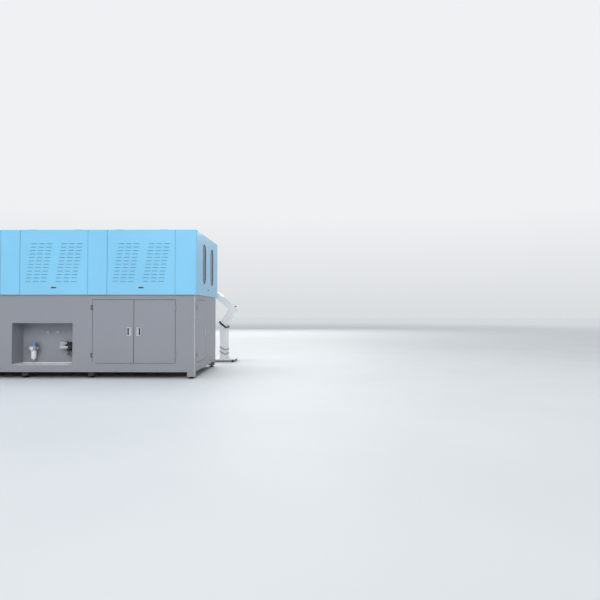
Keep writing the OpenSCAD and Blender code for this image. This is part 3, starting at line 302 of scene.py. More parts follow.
class Layout(Plan):
    """A Geometry Nodes tree that sets one small part on every marked spot of a body."""

    def __init__(self, name, **sizes):
        super().__init__(bpy.data.node_groups.new(name, "GeometryNodeTree"))
        self.sizes = sizes
        doors = self.tree.interface
        doors.new_socket("Geometry", in_out="INPUT", socket_type="NodeSocketGeometry")
        for size in sizes:
            doors.new_socket(size, in_out="INPUT", socket_type="NodeSocketFloat")
        doors.new_socket("Geometry", in_out="OUTPUT", socket_type="NodeSocketGeometry")
        self.enter = self.tree.nodes.new("NodeGroupInput")
        self.solids = []

    def size(self, name):
        return Number(self, self.enter.outputs[name])

    def add(self, finish, solid, lift):
        """Takes one primitive of the part, with its finish and its place along the spot's axis."""
        offset = self.node("ShaderNodeCombineXYZ", {}, {2: lift})
        moved = self.node("GeometryNodeTransform", {}, {0: solid, "Translation": offset})
        finished = {0: moved, "Material": finish.material}
        self.solids.append(self.node("GeometryNodeSetMaterial", {}, finished))

    def disc(self, finish, radius, height, lift, sides=16, top=1.0):
        """A short cylinder or, with top below 1, a frustum standing on lift."""
        shape = {"Vertices": sides, "Radius Bottom": radius, "Radius Top": radius * top, "Depth": height}
        self.add(finish, self.node("GeometryNodeMeshCone", {}, shape), lift)

    def bar(self, finish, length, width, height, lift):
        """A box whose middle stands at lift."""
        box = self.node("ShaderNodeCombineXYZ", {}, {0: length, 1: width, 2: height})
        self.add(finish, self.node("GeometryNodeMeshCube", {}, {"Size": box}), lift)

    def close(self):
        """Joins the primitives and sets them on the spots, turned by each spot's two directions."""
        enter = Number(self, self.enter.outputs["Geometry"])
        joined = self.tree.nodes.new("GeometryNodeJoinGeometry")
        for solid in reversed(self.solids):
            self.plug(solid, joined.inputs[0])
        part = Number(self, joined.outputs[0])
        facing, along = [self.node("GeometryNodeInputNamedAttribute", {"data_type": "FLOAT_VECTOR"},
                                   {"Name": label}) for label in ("facing", "along")]
        first = self.node("FunctionNodeAlignRotationToVector", {"axis": "Z"}, {"Vector": facing})
        turned = self.node("FunctionNodeAlignRotationToVector", {"axis": "X", "pivot_axis": "Z"},
                           {"Rotation": first, "Vector": along})
        placed = {0: enter, "Instance": part, "Rotation": turned}
        copies = self.node("GeometryNodeInstanceOnPoints", {}, placed)
        real = self.node("GeometryNodeRealizeInstances", {}, {0: copies})
        leave = self.tree.nodes.new("NodeGroupOutput")
        self.plug(real, leave.inputs[0])

    def lay(self, name, body, slot, spots):
        """Spots are (place, facing) or (place, facing, along) in the machine's frame, in metres."""
        any_way = (0.31, 0.73, 0.61)
        seed = bpy.data.meshes.new(name)
        seed.from_pydata([tuple(spot[0]) for spot in spots], [], [])
        for label, pick in (("facing", 1), ("along", 2)):
            values = seed.attributes.new(label, "FLOAT_VECTOR", "POINT")
            for index, spot in enumerate(spots):
                values.data[index].vector = spot[pick] if len(spot) > pick else any_way
        seeds = bpy.data.objects.new(name, seed)
        scene.collection.objects.link(seeds)
        modifier = seeds.modifiers.new("layout", "NODES")
        modifier.node_group = self.tree
        for item in self.tree.interface.items_tree:
            if item.in_out == "INPUT" and item.name in self.sizes:
                modifier[item.identifier] = self.sizes[item.name]
        graph = bpy.context.evaluated_depsgraph_get()
        solid = bpy.data.meshes.new_from_object(seeds.evaluated_get(graph))
        seeds.modifiers.remove(modifier)
        seeds.data = solid
        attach(seeds, body)


BACK_SKIN_Y, OPERATOR_SKIN_Y, WALL_SKIN_X, AISLE_SKIN_X = 27, 1673, 27, 3973
frame_black = coated("frame_black", rgb(44, 45, 48), 0.46, 0.0, 0.30)
dress(grey_coat, "back_panel", "base_panels", "service_recess", "back_door_left", "back_door_right",
      "end_door", "operator_door_left", "operator_door_right")
# The cross rails take the black as painted shade, dark like the shadow under the skirt; the table is black
# itself.
dress(frame_black, "machine_table", "cross_rails")

shadow = moulded("deep_shadow", rgb(9, 9, 10), rgb(15, 15, 16), 0.6)
cap_screw = Layout("cap_screw", radius=0.005, height=0.004)
screw_radius, screw_height = cap_screw.size("radius"), cap_screw.size("height")
washer = 0.0008
cap_screw.disc(zinc, screw_radius * 1.5, washer, 0.0)
cap_screw.disc(zinc, screw_radius, screw_height * 0.8, washer)
cap_screw.disc(zinc, screw_radius * 0.98, screw_height * 0.2, screw_height * 0.8 + washer, top=0.8)
cap_screw.disc(shadow, screw_radius * 0.5, 0.0003, screw_height + washer, sides=6)
cap_screw.close()


def screw_down(name, body, slot, radius, height, spots):
    """Lays cap screws of one size, in metres, on the spots of a body."""
    cap_screw.sizes = {"radius": radius, "height": height}
    cap_screw.lay(name, body, slot, spots)


screw_down("end_skin_screws", "machine", "zinc", 0.006, 0.004,
           [(at(WALL_SKIN_X, y, z), to_wall) for y in (190, 850, 1510) for z in (240, 1090)])

earth_bolt = Layout("earth_bolt", radius=0.012)
bolt_radius = earth_bolt.size("radius")
earth_bolt.disc(zinc, bolt_radius * 1.5, 0.002, 0.0, sides=24)
earth_bolt.disc(zinc, bolt_radius, 0.008, 0.002, sides=6)
earth_bolt.disc(zinc, bolt_radius * 0.86, 0.001, 0.010, sides=20, top=0.85)
earth_bolt.close()
earth_bolt.lay("earth_bolt", "machine", "zinc", [(at(2840, BACK_SKIN_Y, 128), to_back)])

# Hinges
# Steel hinges with three knuckles on a pin, each leaf held by countersunk screws. Those of the
# doors are black, and grey like the base near the aisle, and those on the roof are blue.
BLUE = rgb(134, 206, 247)
BACK_DOOR_Y, OPERATOR_DOOR_Y, AISLE_DOOR_X = 24, 1676, 3976
DOOR_HINGE_Z, ROOF_HINGE_Z = (328, 998), 2093
DOOR_LEAF, ROOF_LEAF = 15, 50.5
DOOR_PITCH, ROOF_PITCH = 20, 45
COVER_LEFTS, GUARD_LENGTH = (280, 1510, 2740), 4000
GREY_FROM_X, BLUE_FROM_Z = 1.5, 1.6
hinge_coat = coated("hinge_coat", rgb(34, 35, 37), 0.42)
hinge_place = hinge_coat.place()
hinge_tone = hinge_coat.mix(hinge_coat.noise(hinge_place, 14.0, 4.0), rgb(30, 31, 33), rgb(42, 43, 46))
hinge_x, _, hinge_z = hinge_coat.axes(hinge_place)
near_aisle = hinge_coat.mix(hinge_x > GREY_FROM_X, hinge_tone, GREY)
hinge_coat.feed("Base Color", hinge_coat.mix(hinge_z > BLUE_FROM_Z, near_aisle, BLUE))
dress(hinge_coat, "fixed_hinges")

sunk_screw = Layout("sunk_screw", radius=0.0045)
sunk_radius = sunk_screw.size("radius")
sunk_screw.disc(zinc, sunk_radius, 0.0006, 0.0, top=0.9)
sunk_screw.disc(shadow, sunk_radius * 0.45, 0.0002, 0.0006, sides=6)
sunk_screw.close()
three = (-1, 0, 1)
leaf_screws = [(at(x + side * DOOR_LEAF, BACK_DOOR_Y, z + step * DOOR_PITCH), to_back)
               for x, side in ((2530.5, -1), (3700.5, 1)) for z in DOOR_HINGE_Z for step in three]
leaf_screws += [(at(AISLE_DOOR_X, 150.5 - DOOR_LEAF, z + step * DOOR_PITCH), to_aisle)
                for z in DOOR_HINGE_Z for step in three]
leaf_screws += [(at(x + side * DOOR_LEAF, OPERATOR_DOOR_Y, z + step * DOOR_PITCH), to_front)
                for x, side in ((2100, -1), (3146, 1)) for z in DOOR_HINGE_Z for step in three]
leaf_screws += [(at(left + hinge + step * ROOF_PITCH, ROOF_LEAF, ROOF_HINGE_Z), up)
                for left in COVER_LEFTS for hinge in (160, 800) for step in three]
leaf_screws += [(at(GUARD_LENGTH - ROOF_LEAF, y + step * ROOF_PITCH, ROOF_HINGE_Z), up)
                for y in (300, 1400) for step in three]
sunk_screw.lay("hinge_screws", "machine", "zinc", leaf_screws)

# Door latches
# Pressed chrome housings, each with a finger tub and a sprung paddle. The doors at the aisle end
# and on the operator side have a separate rim and a black tub.
chrome = bare("latch_chrome", rgb(196, 198, 202), rgb(232, 233, 235), 0.07, 0.14, 30.0)
dress(chrome, "back_paddle_left", "back_paddle_right", "end_paddle", "operator_paddle_left",
      "operator_paddle_right")


def sleeved(name, metal, sleeve, noise, gloss, where):
    """Metal with plastic over a part of it, which where tells from a point's three coordinates.

    Metal and sleeve are two colours each; gloss is what the smears, the sleeve and both add.
    """
    finish = Finish(name, {})
    place = finish.place()
    smear = finish.noise(place, *noise)
    covered = where(*finish.axes(place))
    tone, sleeve_tone = finish.mix(smear, *metal), finish.mix(smear, *sleeve)
    finish.feed("Base Color", finish.mix(covered, tone, sleeve_tone))
    finish.feed("Metallic", 1.0 - covered)
    smears, matt, roughness = gloss
    finish.feed("Roughness", smear * smears + covered * matt + roughness)
    return finish


TUB_DEPTH, TUB_BLACK = at(0, BACK_SKIN_Y, 0).y, rgb(16, 16, 17)
tub_chrome = sleeved("latch_tub", (rgb(214, 216, 219), rgb(240, 241, 243)), (TUB_BLACK, TUB_BLACK),
                     (30.0, 4.0, 0.6), (0.14, 0.3, 0.07), lambda x, y, z: y > TUB_DEPTH)
dress(tub_chrome, "back_latch_left", "back_latch_right")
tub_black = moulded("tub_black", rgb(12, 12, 13), rgb(20, 20, 21), 0.5)


def new_piece(name, shape, finish, body):
    """Makes a mesh of a finished shape and sets it on a body of the machine."""
    bmesh.ops.remove_doubles(shape, verts=shape.verts, dist=1e-6)
    bmesh.ops.recalc_face_normals(shape, faces=shape.faces)
    mesh = bpy.data.meshes.new(name)
    shape.to_mesh(mesh)
    shape.free()
    mesh.materials.append(finish.material)
    piece = bpy.data.objects.new(name, mesh)
    scene.collection.objects.link(piece)
    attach(piece, body)


def rounded_loop(width, height, radius):
    """Corner points of a rounded rectangle round the origin."""
    points, steps = [], 5
    for sx, sy, start in ((1, 1, 0), (-1, 1, 90), (-1, -1, 180), (1, -1, 270)):
        for step in range(steps + 1):
            angle = math.radians(start + 90.0 * step / steps)
            points.append((sx * (width / 2 - radius) + radius * math.cos(angle),
                           sy * (height / 2 - radius) + radius * math.sin(angle)))
    return points


def skinned(shape, rings, ring_closed=False):
    """Adds the faces between loops of vertices, then the two ends or a bridge from last to first."""
    pairs = list(zip(rings, rings[1:])) + ([(rings[-1], rings[0])] if ring_closed else [])
    for low, high in pairs:
        for i in range(len(low)):
            j = (i + 1) % len(low)
            shape.faces.new((low[i], low[j], high[j], high[i]))
    if not ring_closed:
        shape.faces.new(rings[0])
        shape.faces.new(rings[-1])


def pressed(name, finish, body, spot, section, floor=()):
    """Makes a pressed rim, or a tub if a floor closes it; spot is its centre and two directions.

    Section and floor are loops of (width, height, corner radius, how far out) in mm.
    """
    centre, across, out = spot[0], Vector(spot[1]), Vector(spot[2])
    shape = bmesh.new()
    for loops, ring_closed in ((section, True), (floor, False)):
        rings = [[shape.verts.new(centre + (across * u + up_axis * v + out * proud) / 1000.0)
                  for u, v in rounded_loop(width, height, radius)]
                 for width, height, radius, proud in loops]
        if rings:
            skinned(shape, rings, ring_closed)
    new_piece(name, shape, finish, body)


LATCH_Z = 660
RIM_SECTION = [(60.6, 116.6, 3.0, 0.05), (60.6, 116.6, 3.0, 2.6), (59.0, 115.0, 3.0, 3.3),
               (48.4, 98.4, 2.0, 3.3), (47.4, 97.4, 2.0, 2.6), (47.4, 97.4, 2.0, 0.05)]
TUB_SECTION = [(47.5, 97.5, 2.0, 2.2), (47.0, 97.0, 2.0, 1.9), (47.0, 97.0, 2.0, -15.4),
               (48.0, 98.0, 2.0, -15.4), (48.0, 98.0, 2.0, 0.05)]
TUB_FLOOR = [(47.6, 97.6, 2.0, -15.8), (47.6, 97.6, 2.0, -15.4)]
for name, body, spot in (
        ("end_latch_trim", "end_door", (at(AISLE_SKIN_X, 768, LATCH_Z), to_front, to_aisle)),
        ("operator_latch_trim_left", "operator_door_left",
         (at(2688.5, OPERATOR_SKIN_Y, LATCH_Z), to_aisle, to_front)),
        ("operator_latch_trim_right", "operator_door_right",
         (at(2557.5, OPERATOR_SKIN_Y, LATCH_Z), to_aisle, to_front))):
    pressed(name, chrome, body, spot, RIM_SECTION)
    pressed(name + "_tub", tub_black, body, spot, TUB_SECTION, TUB_FLOOR)

# Door edges
# A thin black strip lies round every door leaf, on its face: painted shade that darkens the gap to
# its neighbours as the shadow in the gap would.
DOOR_MIDDLE_Z, DOOR_HEIGHT = 663, 890
EDGE_OUTSIDE, EDGE_INSIDE, EDGE_FOOT, EDGE_TOP = 0.2, 3.6, 0.05, 0.4
rubber = moulded("rubber", rgb(18, 18, 19), rgb(26, 26, 27), 0.62)
for body, width, spot in (
        ("back_door_left", 582, (at(2823, BACK_DOOR_Y, DOOR_MIDDLE_Z), to_aisle, to_back)),
        ("back_door_right", 582, (at(3408, BACK_DOOR_Y, DOOR_MIDDLE_Z), to_aisle, to_back)),
        ("end_door", 680, (at(AISLE_DOOR_X, 492, DOOR_MIDDLE_Z), to_front, to_aisle)),
        ("operator_door_left", 520, (at(2884.5, OPERATOR_DOOR_Y, DOOR_MIDDLE_Z), to_aisle, to_front)),
        ("operator_door_right", 520, (at(2361.5, OPERATOR_DOOR_Y, DOOR_MIDDLE_Z), to_aisle, to_front))):
    edge_section = [(width - inset, DOOR_HEIGHT - inset, 1.0, proud) for inset, proud in (
        (EDGE_OUTSIDE, EDGE_FOOT), (EDGE_OUTSIDE, EDGE_TOP),
        (EDGE_INSIDE, EDGE_TOP), (EDGE_INSIDE, EDGE_FOOT))]
    # Each strip is painted shade: black where the gap round the leaf lies in shadow.
    pressed("edge_" + body, rubber, body, spot, edge_section)

# Service recess
# The open bay's air supply: a cast filter regulator with a clear bowl, nickel plated fittings and
# ball valve, a pilot valve with two coils, and a pale drip tray folded from sheet.


def plank(shape, low, high, bevel=0.0):
    """Adds a box between two corners, with its edges broken by bevel."""
    low, high = Vector(low), Vector(high)
    made = bmesh.ops.create_cube(shape, size=1.0)["verts"]
    for vert in made:
        for axis in range(3):
            vert.co[axis] = high[axis] if vert.co[axis] > 0 else low[axis]
    if bevel:
        edges = list({edge for vert in made for edge in vert.link_edges})
        bmesh.ops.bevel(shape, geom=edges, offset=bevel, segments=2, affect="EDGES")


def turned(shape, profile, centre, axis, sides=32, ring_closed=False):
    """Adds a turned solid: profile holds (radius, height along the axis) from end to end."""
    place = Matrix.Translation(centre) @ Vector(axis).to_track_quat("Z", "Y").to_matrix().to_4x4()
    angles = [2.0 * math.pi * step / sides for step in range(sides)]
    rings = [[shape.verts.new(place @ Vector((radius * math.cos(a), radius * math.sin(a), height)))
              for a in angles] for radius, height in profile]
    skinned(shape, rings, ring_closed)


SILENCER_TOP, SLEEVE_START = 0.400, 0.0
cast_metal = bare("cast_metal", rgb(168, 170, 172), rgb(204, 206, 208), 0.34, 0.16, 120.0, scratch=0.00004)
NICKEL = (rgb(186, 186, 182), rgb(222, 222, 219))
nickel = sleeved("nickel", NICKEL, (rgb(84, 85, 88), rgb(104, 105, 108)), (45.0, 4.0, 0.6),
                 (0.16, 0.4, 0.16), lambda x, y, z: z < SILENCER_TOP)
black_plastic = moulded("black_plastic", rgb(22, 22, 23), rgb(34, 34, 36), 0.42)
blue_plastic = moulded("blue_plastic", rgb(84, 142, 188), rgb(98, 158, 202), 0.36, coat=0.2)
bowl_plastic = moulded("bowl_plastic", rgb(226, 232, 236), rgb(240, 244, 246), 0.22, 200.0, 0.5)
dress(cast_metal, "filter_regulator")
dress(bowl_plastic, "filter_bowl")
dress(blue_plastic, "filter_knob")
dress(nickel, "air_fittings")
SLEEVE_BLACK = rgb(24, 24, 26)
lever_coat = sleeved("lever_coat", NICKEL, (SLEEVE_BLACK, SLEEVE_BLACK), (200.0, 2.0),
                     (0.12, 0.2, 0.18), lambda x, y, z: x > SLEEVE_START)
dress(lever_coat, "valve_lever")
pilot = bmesh.new()
plank(pilot, at(1984, 216, 402), at(2060, 316, 506), 0.004)
plank(pilot, at(2060, 224, 470), at(2084, 300, 500), 0.002)
new_piece("pilot_valve", pilot, cast_metal, "machine")
coils = bmesh.new()
for z in (462, 372):
    plank(coils, at(2084, 214, z), at(2138, 300, z + 36), 0.004)
new_piece("valve_coils", coils, black_plastic, "machine")
TRAY_LEFT, TRAY_RIGHT, TRAY_BACK, TRAY_LIP = 1399, 2250, 29, 204.0
tray = bmesh.new()
plank(tray, at(TRAY_LEFT, TRAY_BACK, 190.2), at(TRAY_RIGHT, 315, 192.0), 0.0004)
plank(tray, at(TRAY_LEFT, 311, 191.5), at(TRAY_RIGHT, 313, TRAY_LIP), 0.0006)
for x in (TRAY_LEFT, TRAY_RIGHT - 2):
    plank(tray, at(x, TRAY_BACK, 191.5), at(x + 2, 312, TRAY_LIP), 0.0006)
tray_coat = coated("tray_coat", rgb(238, 239, 240), 0.4)
new_piece("drip_tray", tray, tray_coat, "machine")
PUSH_RING = [(0.0075, 0.0), (0.0105, 0.0), (0.0105, 0.004), (0.0098, 0.005), (0.0075, 0.005)]
PORT_RING = [(0.007, 0.0), (0.0100, 0.0), (0.0100, 0.006), (0.007, 0.006)]
red_plastic = moulded("red_plastic", rgb(176, 22, 18), rgb(200, 34, 26), 0.30, coat=0.3)
push_rings = bmesh.new()
for x in (1776, 1914):
    turned(push_rings, PUSH_RING, at(x, 267, 641), to_back, 32, True)
turned(push_rings, PORT_RING, at(1478, 242, 413), to_wall, 32, True)
new_piece("push_in_rings", push_rings, red_plastic, "machine")

dial_white = moulded("dial_white", rgb(236, 237, 234), rgb(246, 246, 243), 0.4, 90.0, 0.6)
dial_ink = moulded("dial_ink", rgb(16, 16, 18), rgb(26, 26, 28), 0.5, 90.0)
needle_red = moulded("needle_red", rgb(190, 30, 24), rgb(208, 40, 30), 0.4, 90.0)
dial_tick = Layout("dial_tick", length=0.003, width=0.0005)
dial_tick.bar(dial_ink, dial_tick.size("length"), dial_tick.size("width"), 0.0003, 0.0)
dial_tick.close()


def dial(name, centre, facing, radius):
    """A pressure dial: white face, ticks over three quarters of a turn, and a red needle."""
    marks, every_long, first_angle, mark_angle, needle_angle = 31, 5, 225.0, 9.0, 150.0
    face_thick, tick_level, needle_level, needle_thick = 0.0006, 0.0008, 0.0012, 0.0004
    face = bmesh.new()
    turned(face, [(0.0, 0.0), (radius, 0.0), (radius, face_thick), (0.0, face_thick)], centre, facing)
    new_piece(name + "_face", face, dial_white, "machine")
    facing = Vector(facing)
    right = up_axis.cross(facing).normalized()
    ticks, long_ticks = [], []
    for mark in range(marks):
        angle = math.radians(first_angle - mark_angle * mark)
        out = right * math.cos(angle) + up_axis * math.sin(angle)
        spots, reach = (long_ticks, 0.80) if mark % every_long == 0 else (ticks, 0.86)
        spots.append((centre + out * radius * reach + facing * tick_level, facing, out))
    dial_tick.sizes = {"length": radius * 0.10, "width": radius * 0.025}
    dial_tick.lay(name + "_ticks", "machine", "black_plastic", ticks)
    dial_tick.sizes = {"length": radius * 0.20, "width": radius * 0.045}
    dial_tick.lay(name + "_long_ticks", "machine", "black_plastic", long_ticks)
    needle = bmesh.new()
    angle = math.radians(needle_angle)
    out = right * math.cos(angle) + up_axis * math.sin(angle)
    across = facing.cross(out)
    base = centre + facing * needle_level
    points = [base - out * radius * 0.25 + across * radius * 0.04, base + out * radius * 0.72,
              base - out * radius * 0.25 - across * radius * 0.04]
    skinned(needle, [[needle.verts.new(point + facing * level) for point in points]
                     for level in (0.0, needle_thick)])
    hub = [(0.0, 0.0), (radius * 0.12, 0.0), (radius * 0.09, 0.0012), (0.0, 0.0012)]
    turned(needle, hub, base, facing, 16)
    new_piece(name + "_needle", needle, needle_red, "machine")


FILTER_X = 1593
dial("filter_dial", at(FILTER_X, 182, 413), to_back, 0.0210)
screw_down("bracket_screws", "machine", "zinc", 0.003, 0.003,
           [(at(FILTER_X + x, 310, 381 + z), to_back) for x in (-44, 44) for z in (8, 57)])

# Air receiver
# The compressed air tank, rolled and welded from sheet steel with raised seams, on two saddles.
# It is enamelled grey-blue.
SEAM_SECTION = [(0.1890, -0.004), (0.1912, -0.0025), (0.1920, 0.0), (0.1912, 0.0025), (0.1890, 0.004)]
tank_paint = coated("tank_paint", rgb(120, 136, 150), 0.34, 0.3, 0.4)
dress(tank_paint, "air_receiver")
seams = bmesh.new()
for x in (500, 1630):
    turned(seams, SEAM_SECTION, at(x, 1000, 388), to_aisle, 64, True)
new_piece("tank_seams", seams, tank_paint, "machine")

# Control gear
# The mounting plate behind the back doors: galvanised sheet that carries slotted grey ducts,
# black drives, contactors and a row of terminals.
galvanised = bare("galvanised", rgb(168, 172, 174), rgb(200, 203, 205), 0.34, 0.2, 26.0)
dress(galvanised, "control_gear")
duct_grey = moulded("duct_grey", rgb(150, 153, 155), rgb(164, 167, 168), 0.5)
SLATS, SLAT_PITCH, DUCTS, DUCT_PITCH = 126, 9, 3, 290
slats = Layout("duct_slats", length=0.0045, width=0.003, height=0.034)
slats.bar(duct_grey, slats.size("length"), slats.size("height"), slats.size("width"), 0.0)
slats.close()
duct_slats = [(at(2516 + SLAT_PITCH * step, 284, 253 + DUCT_PITCH * duct), to_back, to_aisle)
              for duct in range(DUCTS) for step in range(SLATS)]
slats.lay("duct_slats", "machine", "black_plastic", duct_slats)
GEAR_LEFT, DRIVE_PITCH, CONTACTOR_PITCH, TERMINAL_PITCH = 2530, 150, 70, 45
drive_faces, contactor_faces = bmesh.new(), bmesh.new()
for x in range(GEAR_LEFT, GEAR_LEFT + 5 * DRIVE_PITCH, DRIVE_PITCH):
    plank(drive_faces, at(x + 4, 196, 310), at(x + 106, 200.5, 486), 0.002)
    plank(drive_faces, at(x + 18, 193, 410), at(x + 92, 197, 470), 0.0015)
for x in range(GEAR_LEFT, GEAR_LEFT + 10 * CONTACTOR_PITCH, CONTACTOR_PITCH):
    plank(contactor_faces, at(x + 3, 236, 616), at(x + 55, 240.5, 690), 0.002)
    plank(contactor_faces, at(x + 16, 232, 634), at(x + 42, 237, 672), 0.001)
for x in range(GEAR_LEFT, GEAR_LEFT + 16 * TERMINAL_PITCH, TERMINAL_PITCH):
    plank(contactor_faces, at(x + 3, 252, 898), at(x + 35, 255.5, 978), 0.0015)
new_piece("drive_covers", drive_faces, black_plastic, "machine")
new_piece("contactor_covers", contactor_faces, duct_grey, "machine")

# Guard frame and skin
# Black square tube posts and rings carry blue powder coated strips, a roof and a beam, all folded
# from sheet. Foam strips close the gaps beside the covers, and grey strips the gap over the base.
blue_coat = coated("blue_coat", BLUE, 0.36, 0.20)
dress(frame_black, "guard_frame")
dress(blue_coat, "guard_strips", "roof_panel", "operator_beam")

foam = moulded("foam", rgb(12, 12, 13), rgb(20, 20, 21), 0.95, 600.0)
COVER_WIDTH, END_COVER_LEFT, END_COVER_RIGHT = 960, 100, 1600
GAP_LOW, GAP_TOP, GAP_HALF = 1180, 2088, 1.3
gap_seals = bmesh.new()
for left in COVER_LEFTS:
    for x in (left, left + COVER_WIDTH):
        plank(gap_seals, at(x - GAP_HALF, 1.2, GAP_LOW), at(x + GAP_HALF, BACK_DOOR_Y, GAP_TOP))
for y in (END_COVER_LEFT, END_COVER_RIGHT):
    plank(gap_seals, at(AISLE_DOOR_X, y - GAP_HALF, GAP_LOW), at(3998.8, y + GAP_HALF, GAP_TOP))
new_piece("gap_seals", gap_seals, foam, "machine")
STRIP_LOW, STRIP_TOP, STRIP_THICK = 1164, 1177.4, 2.2
seam_strip = bmesh.new()
for y in (27.4, 1670.4):
    plank(seam_strip, at(28, y, STRIP_LOW), at(3972, y + STRIP_THICK, STRIP_TOP))
for x in (27.4, 3970.4):
    plank(seam_strip, at(x, 29.8, STRIP_LOW), at(x + STRIP_THICK, 1670.2, STRIP_TOP))
new_piece("seam_strip", seam_strip, grey_coat, "machine")

# Lift-up covers
# Folded blue panels on top hinges, with black recessed pulls. Those at the back have thin black lips
# down their sides as painted shade for the gaps beside them, and two have pressed louvres with a
# black filter mat behind them.
dress(blue_coat, "louvre_cover_a", "louvre_cover_b", "plain_cover", "end_cover")
filter_mat = moulded("filter_mat", rgb(14, 14, 15), rgb(26, 26, 28), 0.9, 900.0)
pale_rim = moulded("pale_rim", rgb(206, 209, 212), rgb(222, 224, 227), 0.35, 300.0, 0.3)
PULL_Z = 1278
PULL_RIM = [(80.6, 25.6, 5.0, 0.05), (80.6, 25.6, 5.0, 2.2), (79.2, 24.2, 5.0, 2.7),
            (76.4, 21.4, 4.5, 2.7), (75.6, 20.6, 4.5, 2.2), (75.6, 20.6, 4.5, 0.05)]
PULL_CUP = [(75.4, 20.4, 4.5, 2.1), (66.0, 13.0, 3.0, 2.1), (63.6, 10.6, 2.0, 1.6),
            (63.6, 10.6, 2.0, -13.6), (63.9, 10.9, 2.0, -13.6), (63.9, 10.9, 2.0, 0.05),
            (75.4, 20.4, 4.5, 0.05)]
CUP_FLOOR = [(63.7, 10.7, 2.0, -13.9), (63.7, 10.7, 2.0, -13.6)]
pulls = []
for name, body, left in (("a", "cover_a", 1510), ("b", "cover_b", 2740), ("plain", "plain_cover", 280)):
    pulls.append((name, body, (at(left + COVER_WIDTH / 2, 0, PULL_Z), to_aisle, to_back)))
    # Thin black lips down both sides of the cover: painted shade for the shadow in the gaps beside it.
    lips = bmesh.new()
    for x, width in ((left + 1.4, 3.0), (left + 956.8, 1.8)):
        plank(lips, at(x, -0.35, 1181), at(x + width, 0.05, GAP_TOP))
    new_piece("cover_lips_" + name, lips, rubber, body)
    if name != "plain":
        mat = bmesh.new()
        plank(mat, at(left + 60, 3.6, 1346), at(left + 900, 8.0, 1922), 0.001)
        new_piece("filter_mat_" + name, mat, filter_mat, body)
pulls.append(("end", "end_cover", (at(GUARD_LENGTH, 850, PULL_Z), to_front, to_aisle)))
for name, body, spot in pulls:
    pressed("pull_rim_" + name, pale_rim, body, spot, PULL_RIM)
    pressed("pull_cup_" + name, black_plastic, body, spot, PULL_CUP, CUP_FLOOR)

# Aisle end windows
# Two long dark polycarbonate windows with round ends, pressed into a black rubber profile that
# grips the cover's sheet.


def clouded(name, fixed, colours, roughness, spread, noise, glow=()):
    """A smooth finish: its colour, its gloss and any glow drift together between two values."""
    finish = Finish(name, fixed)
    drift = finish.noise(finish.place(), *noise)
    finish.feed("Base Color", finish.mix(drift, *colours))
    finish.feed("Roughness", drift * spread + roughness)
    if glow:
        finish.feed("Emission Color", finish.mix(drift, *glow))
    return finish


window = clouded("dark_window", {"IOR": 1.35, "Coat Weight": 0.08, "Coat Roughness": 0.03},
                 (rgb(18, 28, 58), rgb(36, 54, 98)), 0.12, 0.12, (3.0, 5.0, 0.6))
dress(window, "end_windows")
WINDOW_Z, WINDOW_WIDTH, WINDOW_HEIGHT = 1655, 200, 590
SEAL_SECTION = [(4000.2, 5.0), (4002.5, 4.0), (4003.0, 0.5), (4002.5, -3.0), (4000.0, -4.0), (3998.5, -4.0),
                (3998.5, 0.2)]


def window_ring(x, y, offset):
    """Points round the window whose middle is at y, offset outwards from its edge."""
    radius = WINDOW_WIDTH / 2 + offset
    straight = (WINDOW_HEIGHT - WINDOW_WIDTH) / 2
    points, steps = [], 16
    for centre, start in ((WINDOW_Z + straight, 0), (WINDOW_Z - straight, 180)):
        for step in range(steps + 1):
            angle = math.radians(start + 180.0 * step / steps)
            points.append(at(x, y + radius * math.cos(angle), centre + radius * math.sin(angle)))
    return points


seals = bmesh.new()
for y in (END_COVER_LEFT + 450, END_COVER_LEFT + 1065):
    rings = [[seals.verts.new(point) for point in window_ring(x, y, offset)] for x, offset in SEAL_SECTION]
    skinned(seals, rings, ring_closed=True)
new_piece("window_seals", seals, rubber, "end_cover")

# Pressure gauges and regulators
# Three dials in a column on the operator side near the aisle end, each with a black fluted
# regulator knob beside it.
dress(cast_metal, "pressure_gauges")
dress(black_plastic, "pressure_knob_top", "pressure_knob_middle", "pressure_knob_bottom")
for index, z in enumerate((1648, 1798, 1948)):
    dial("pressure_dial_%d" % (index + 1), at(3820, 1723, z), to_front, 0.0288)

# Chain and its wheels
# Yellow zinc plated link plates, pins and spindles carry the preforms past the heater. The two
# notched wheels and the rail under the chain are machined steel.
steel = bare("machined_steel", rgb(150, 151, 154), rgb(192, 193, 196), 0.24, 0.18, 6.0, (6.0, 60.0, 60.0))
chain_plate = bare("chain_plate", rgb(168, 158, 124), rgb(206, 196, 160), 0.26, 0.2, 60.0)
dress(steel, "chain_track", "track_posts", "chain_wheel_left", "chain_wheel_right")
dress(chain_plate, "preform_chain")

# Preforms
# Clear blue-tinted plastic blanks, moulded with their necks, that stand neck down on the
# spindles, ready for heating.
preform_plastic = clouded("preform_plastic", {"IOR": 1.57, "Transmission Weight": 0.75},
                          (rgb(206, 232, 240), rgb(226, 244, 248)), 0.06, 0.06, (60.0, 3.0))
dress(preform_plastic, "preforms")

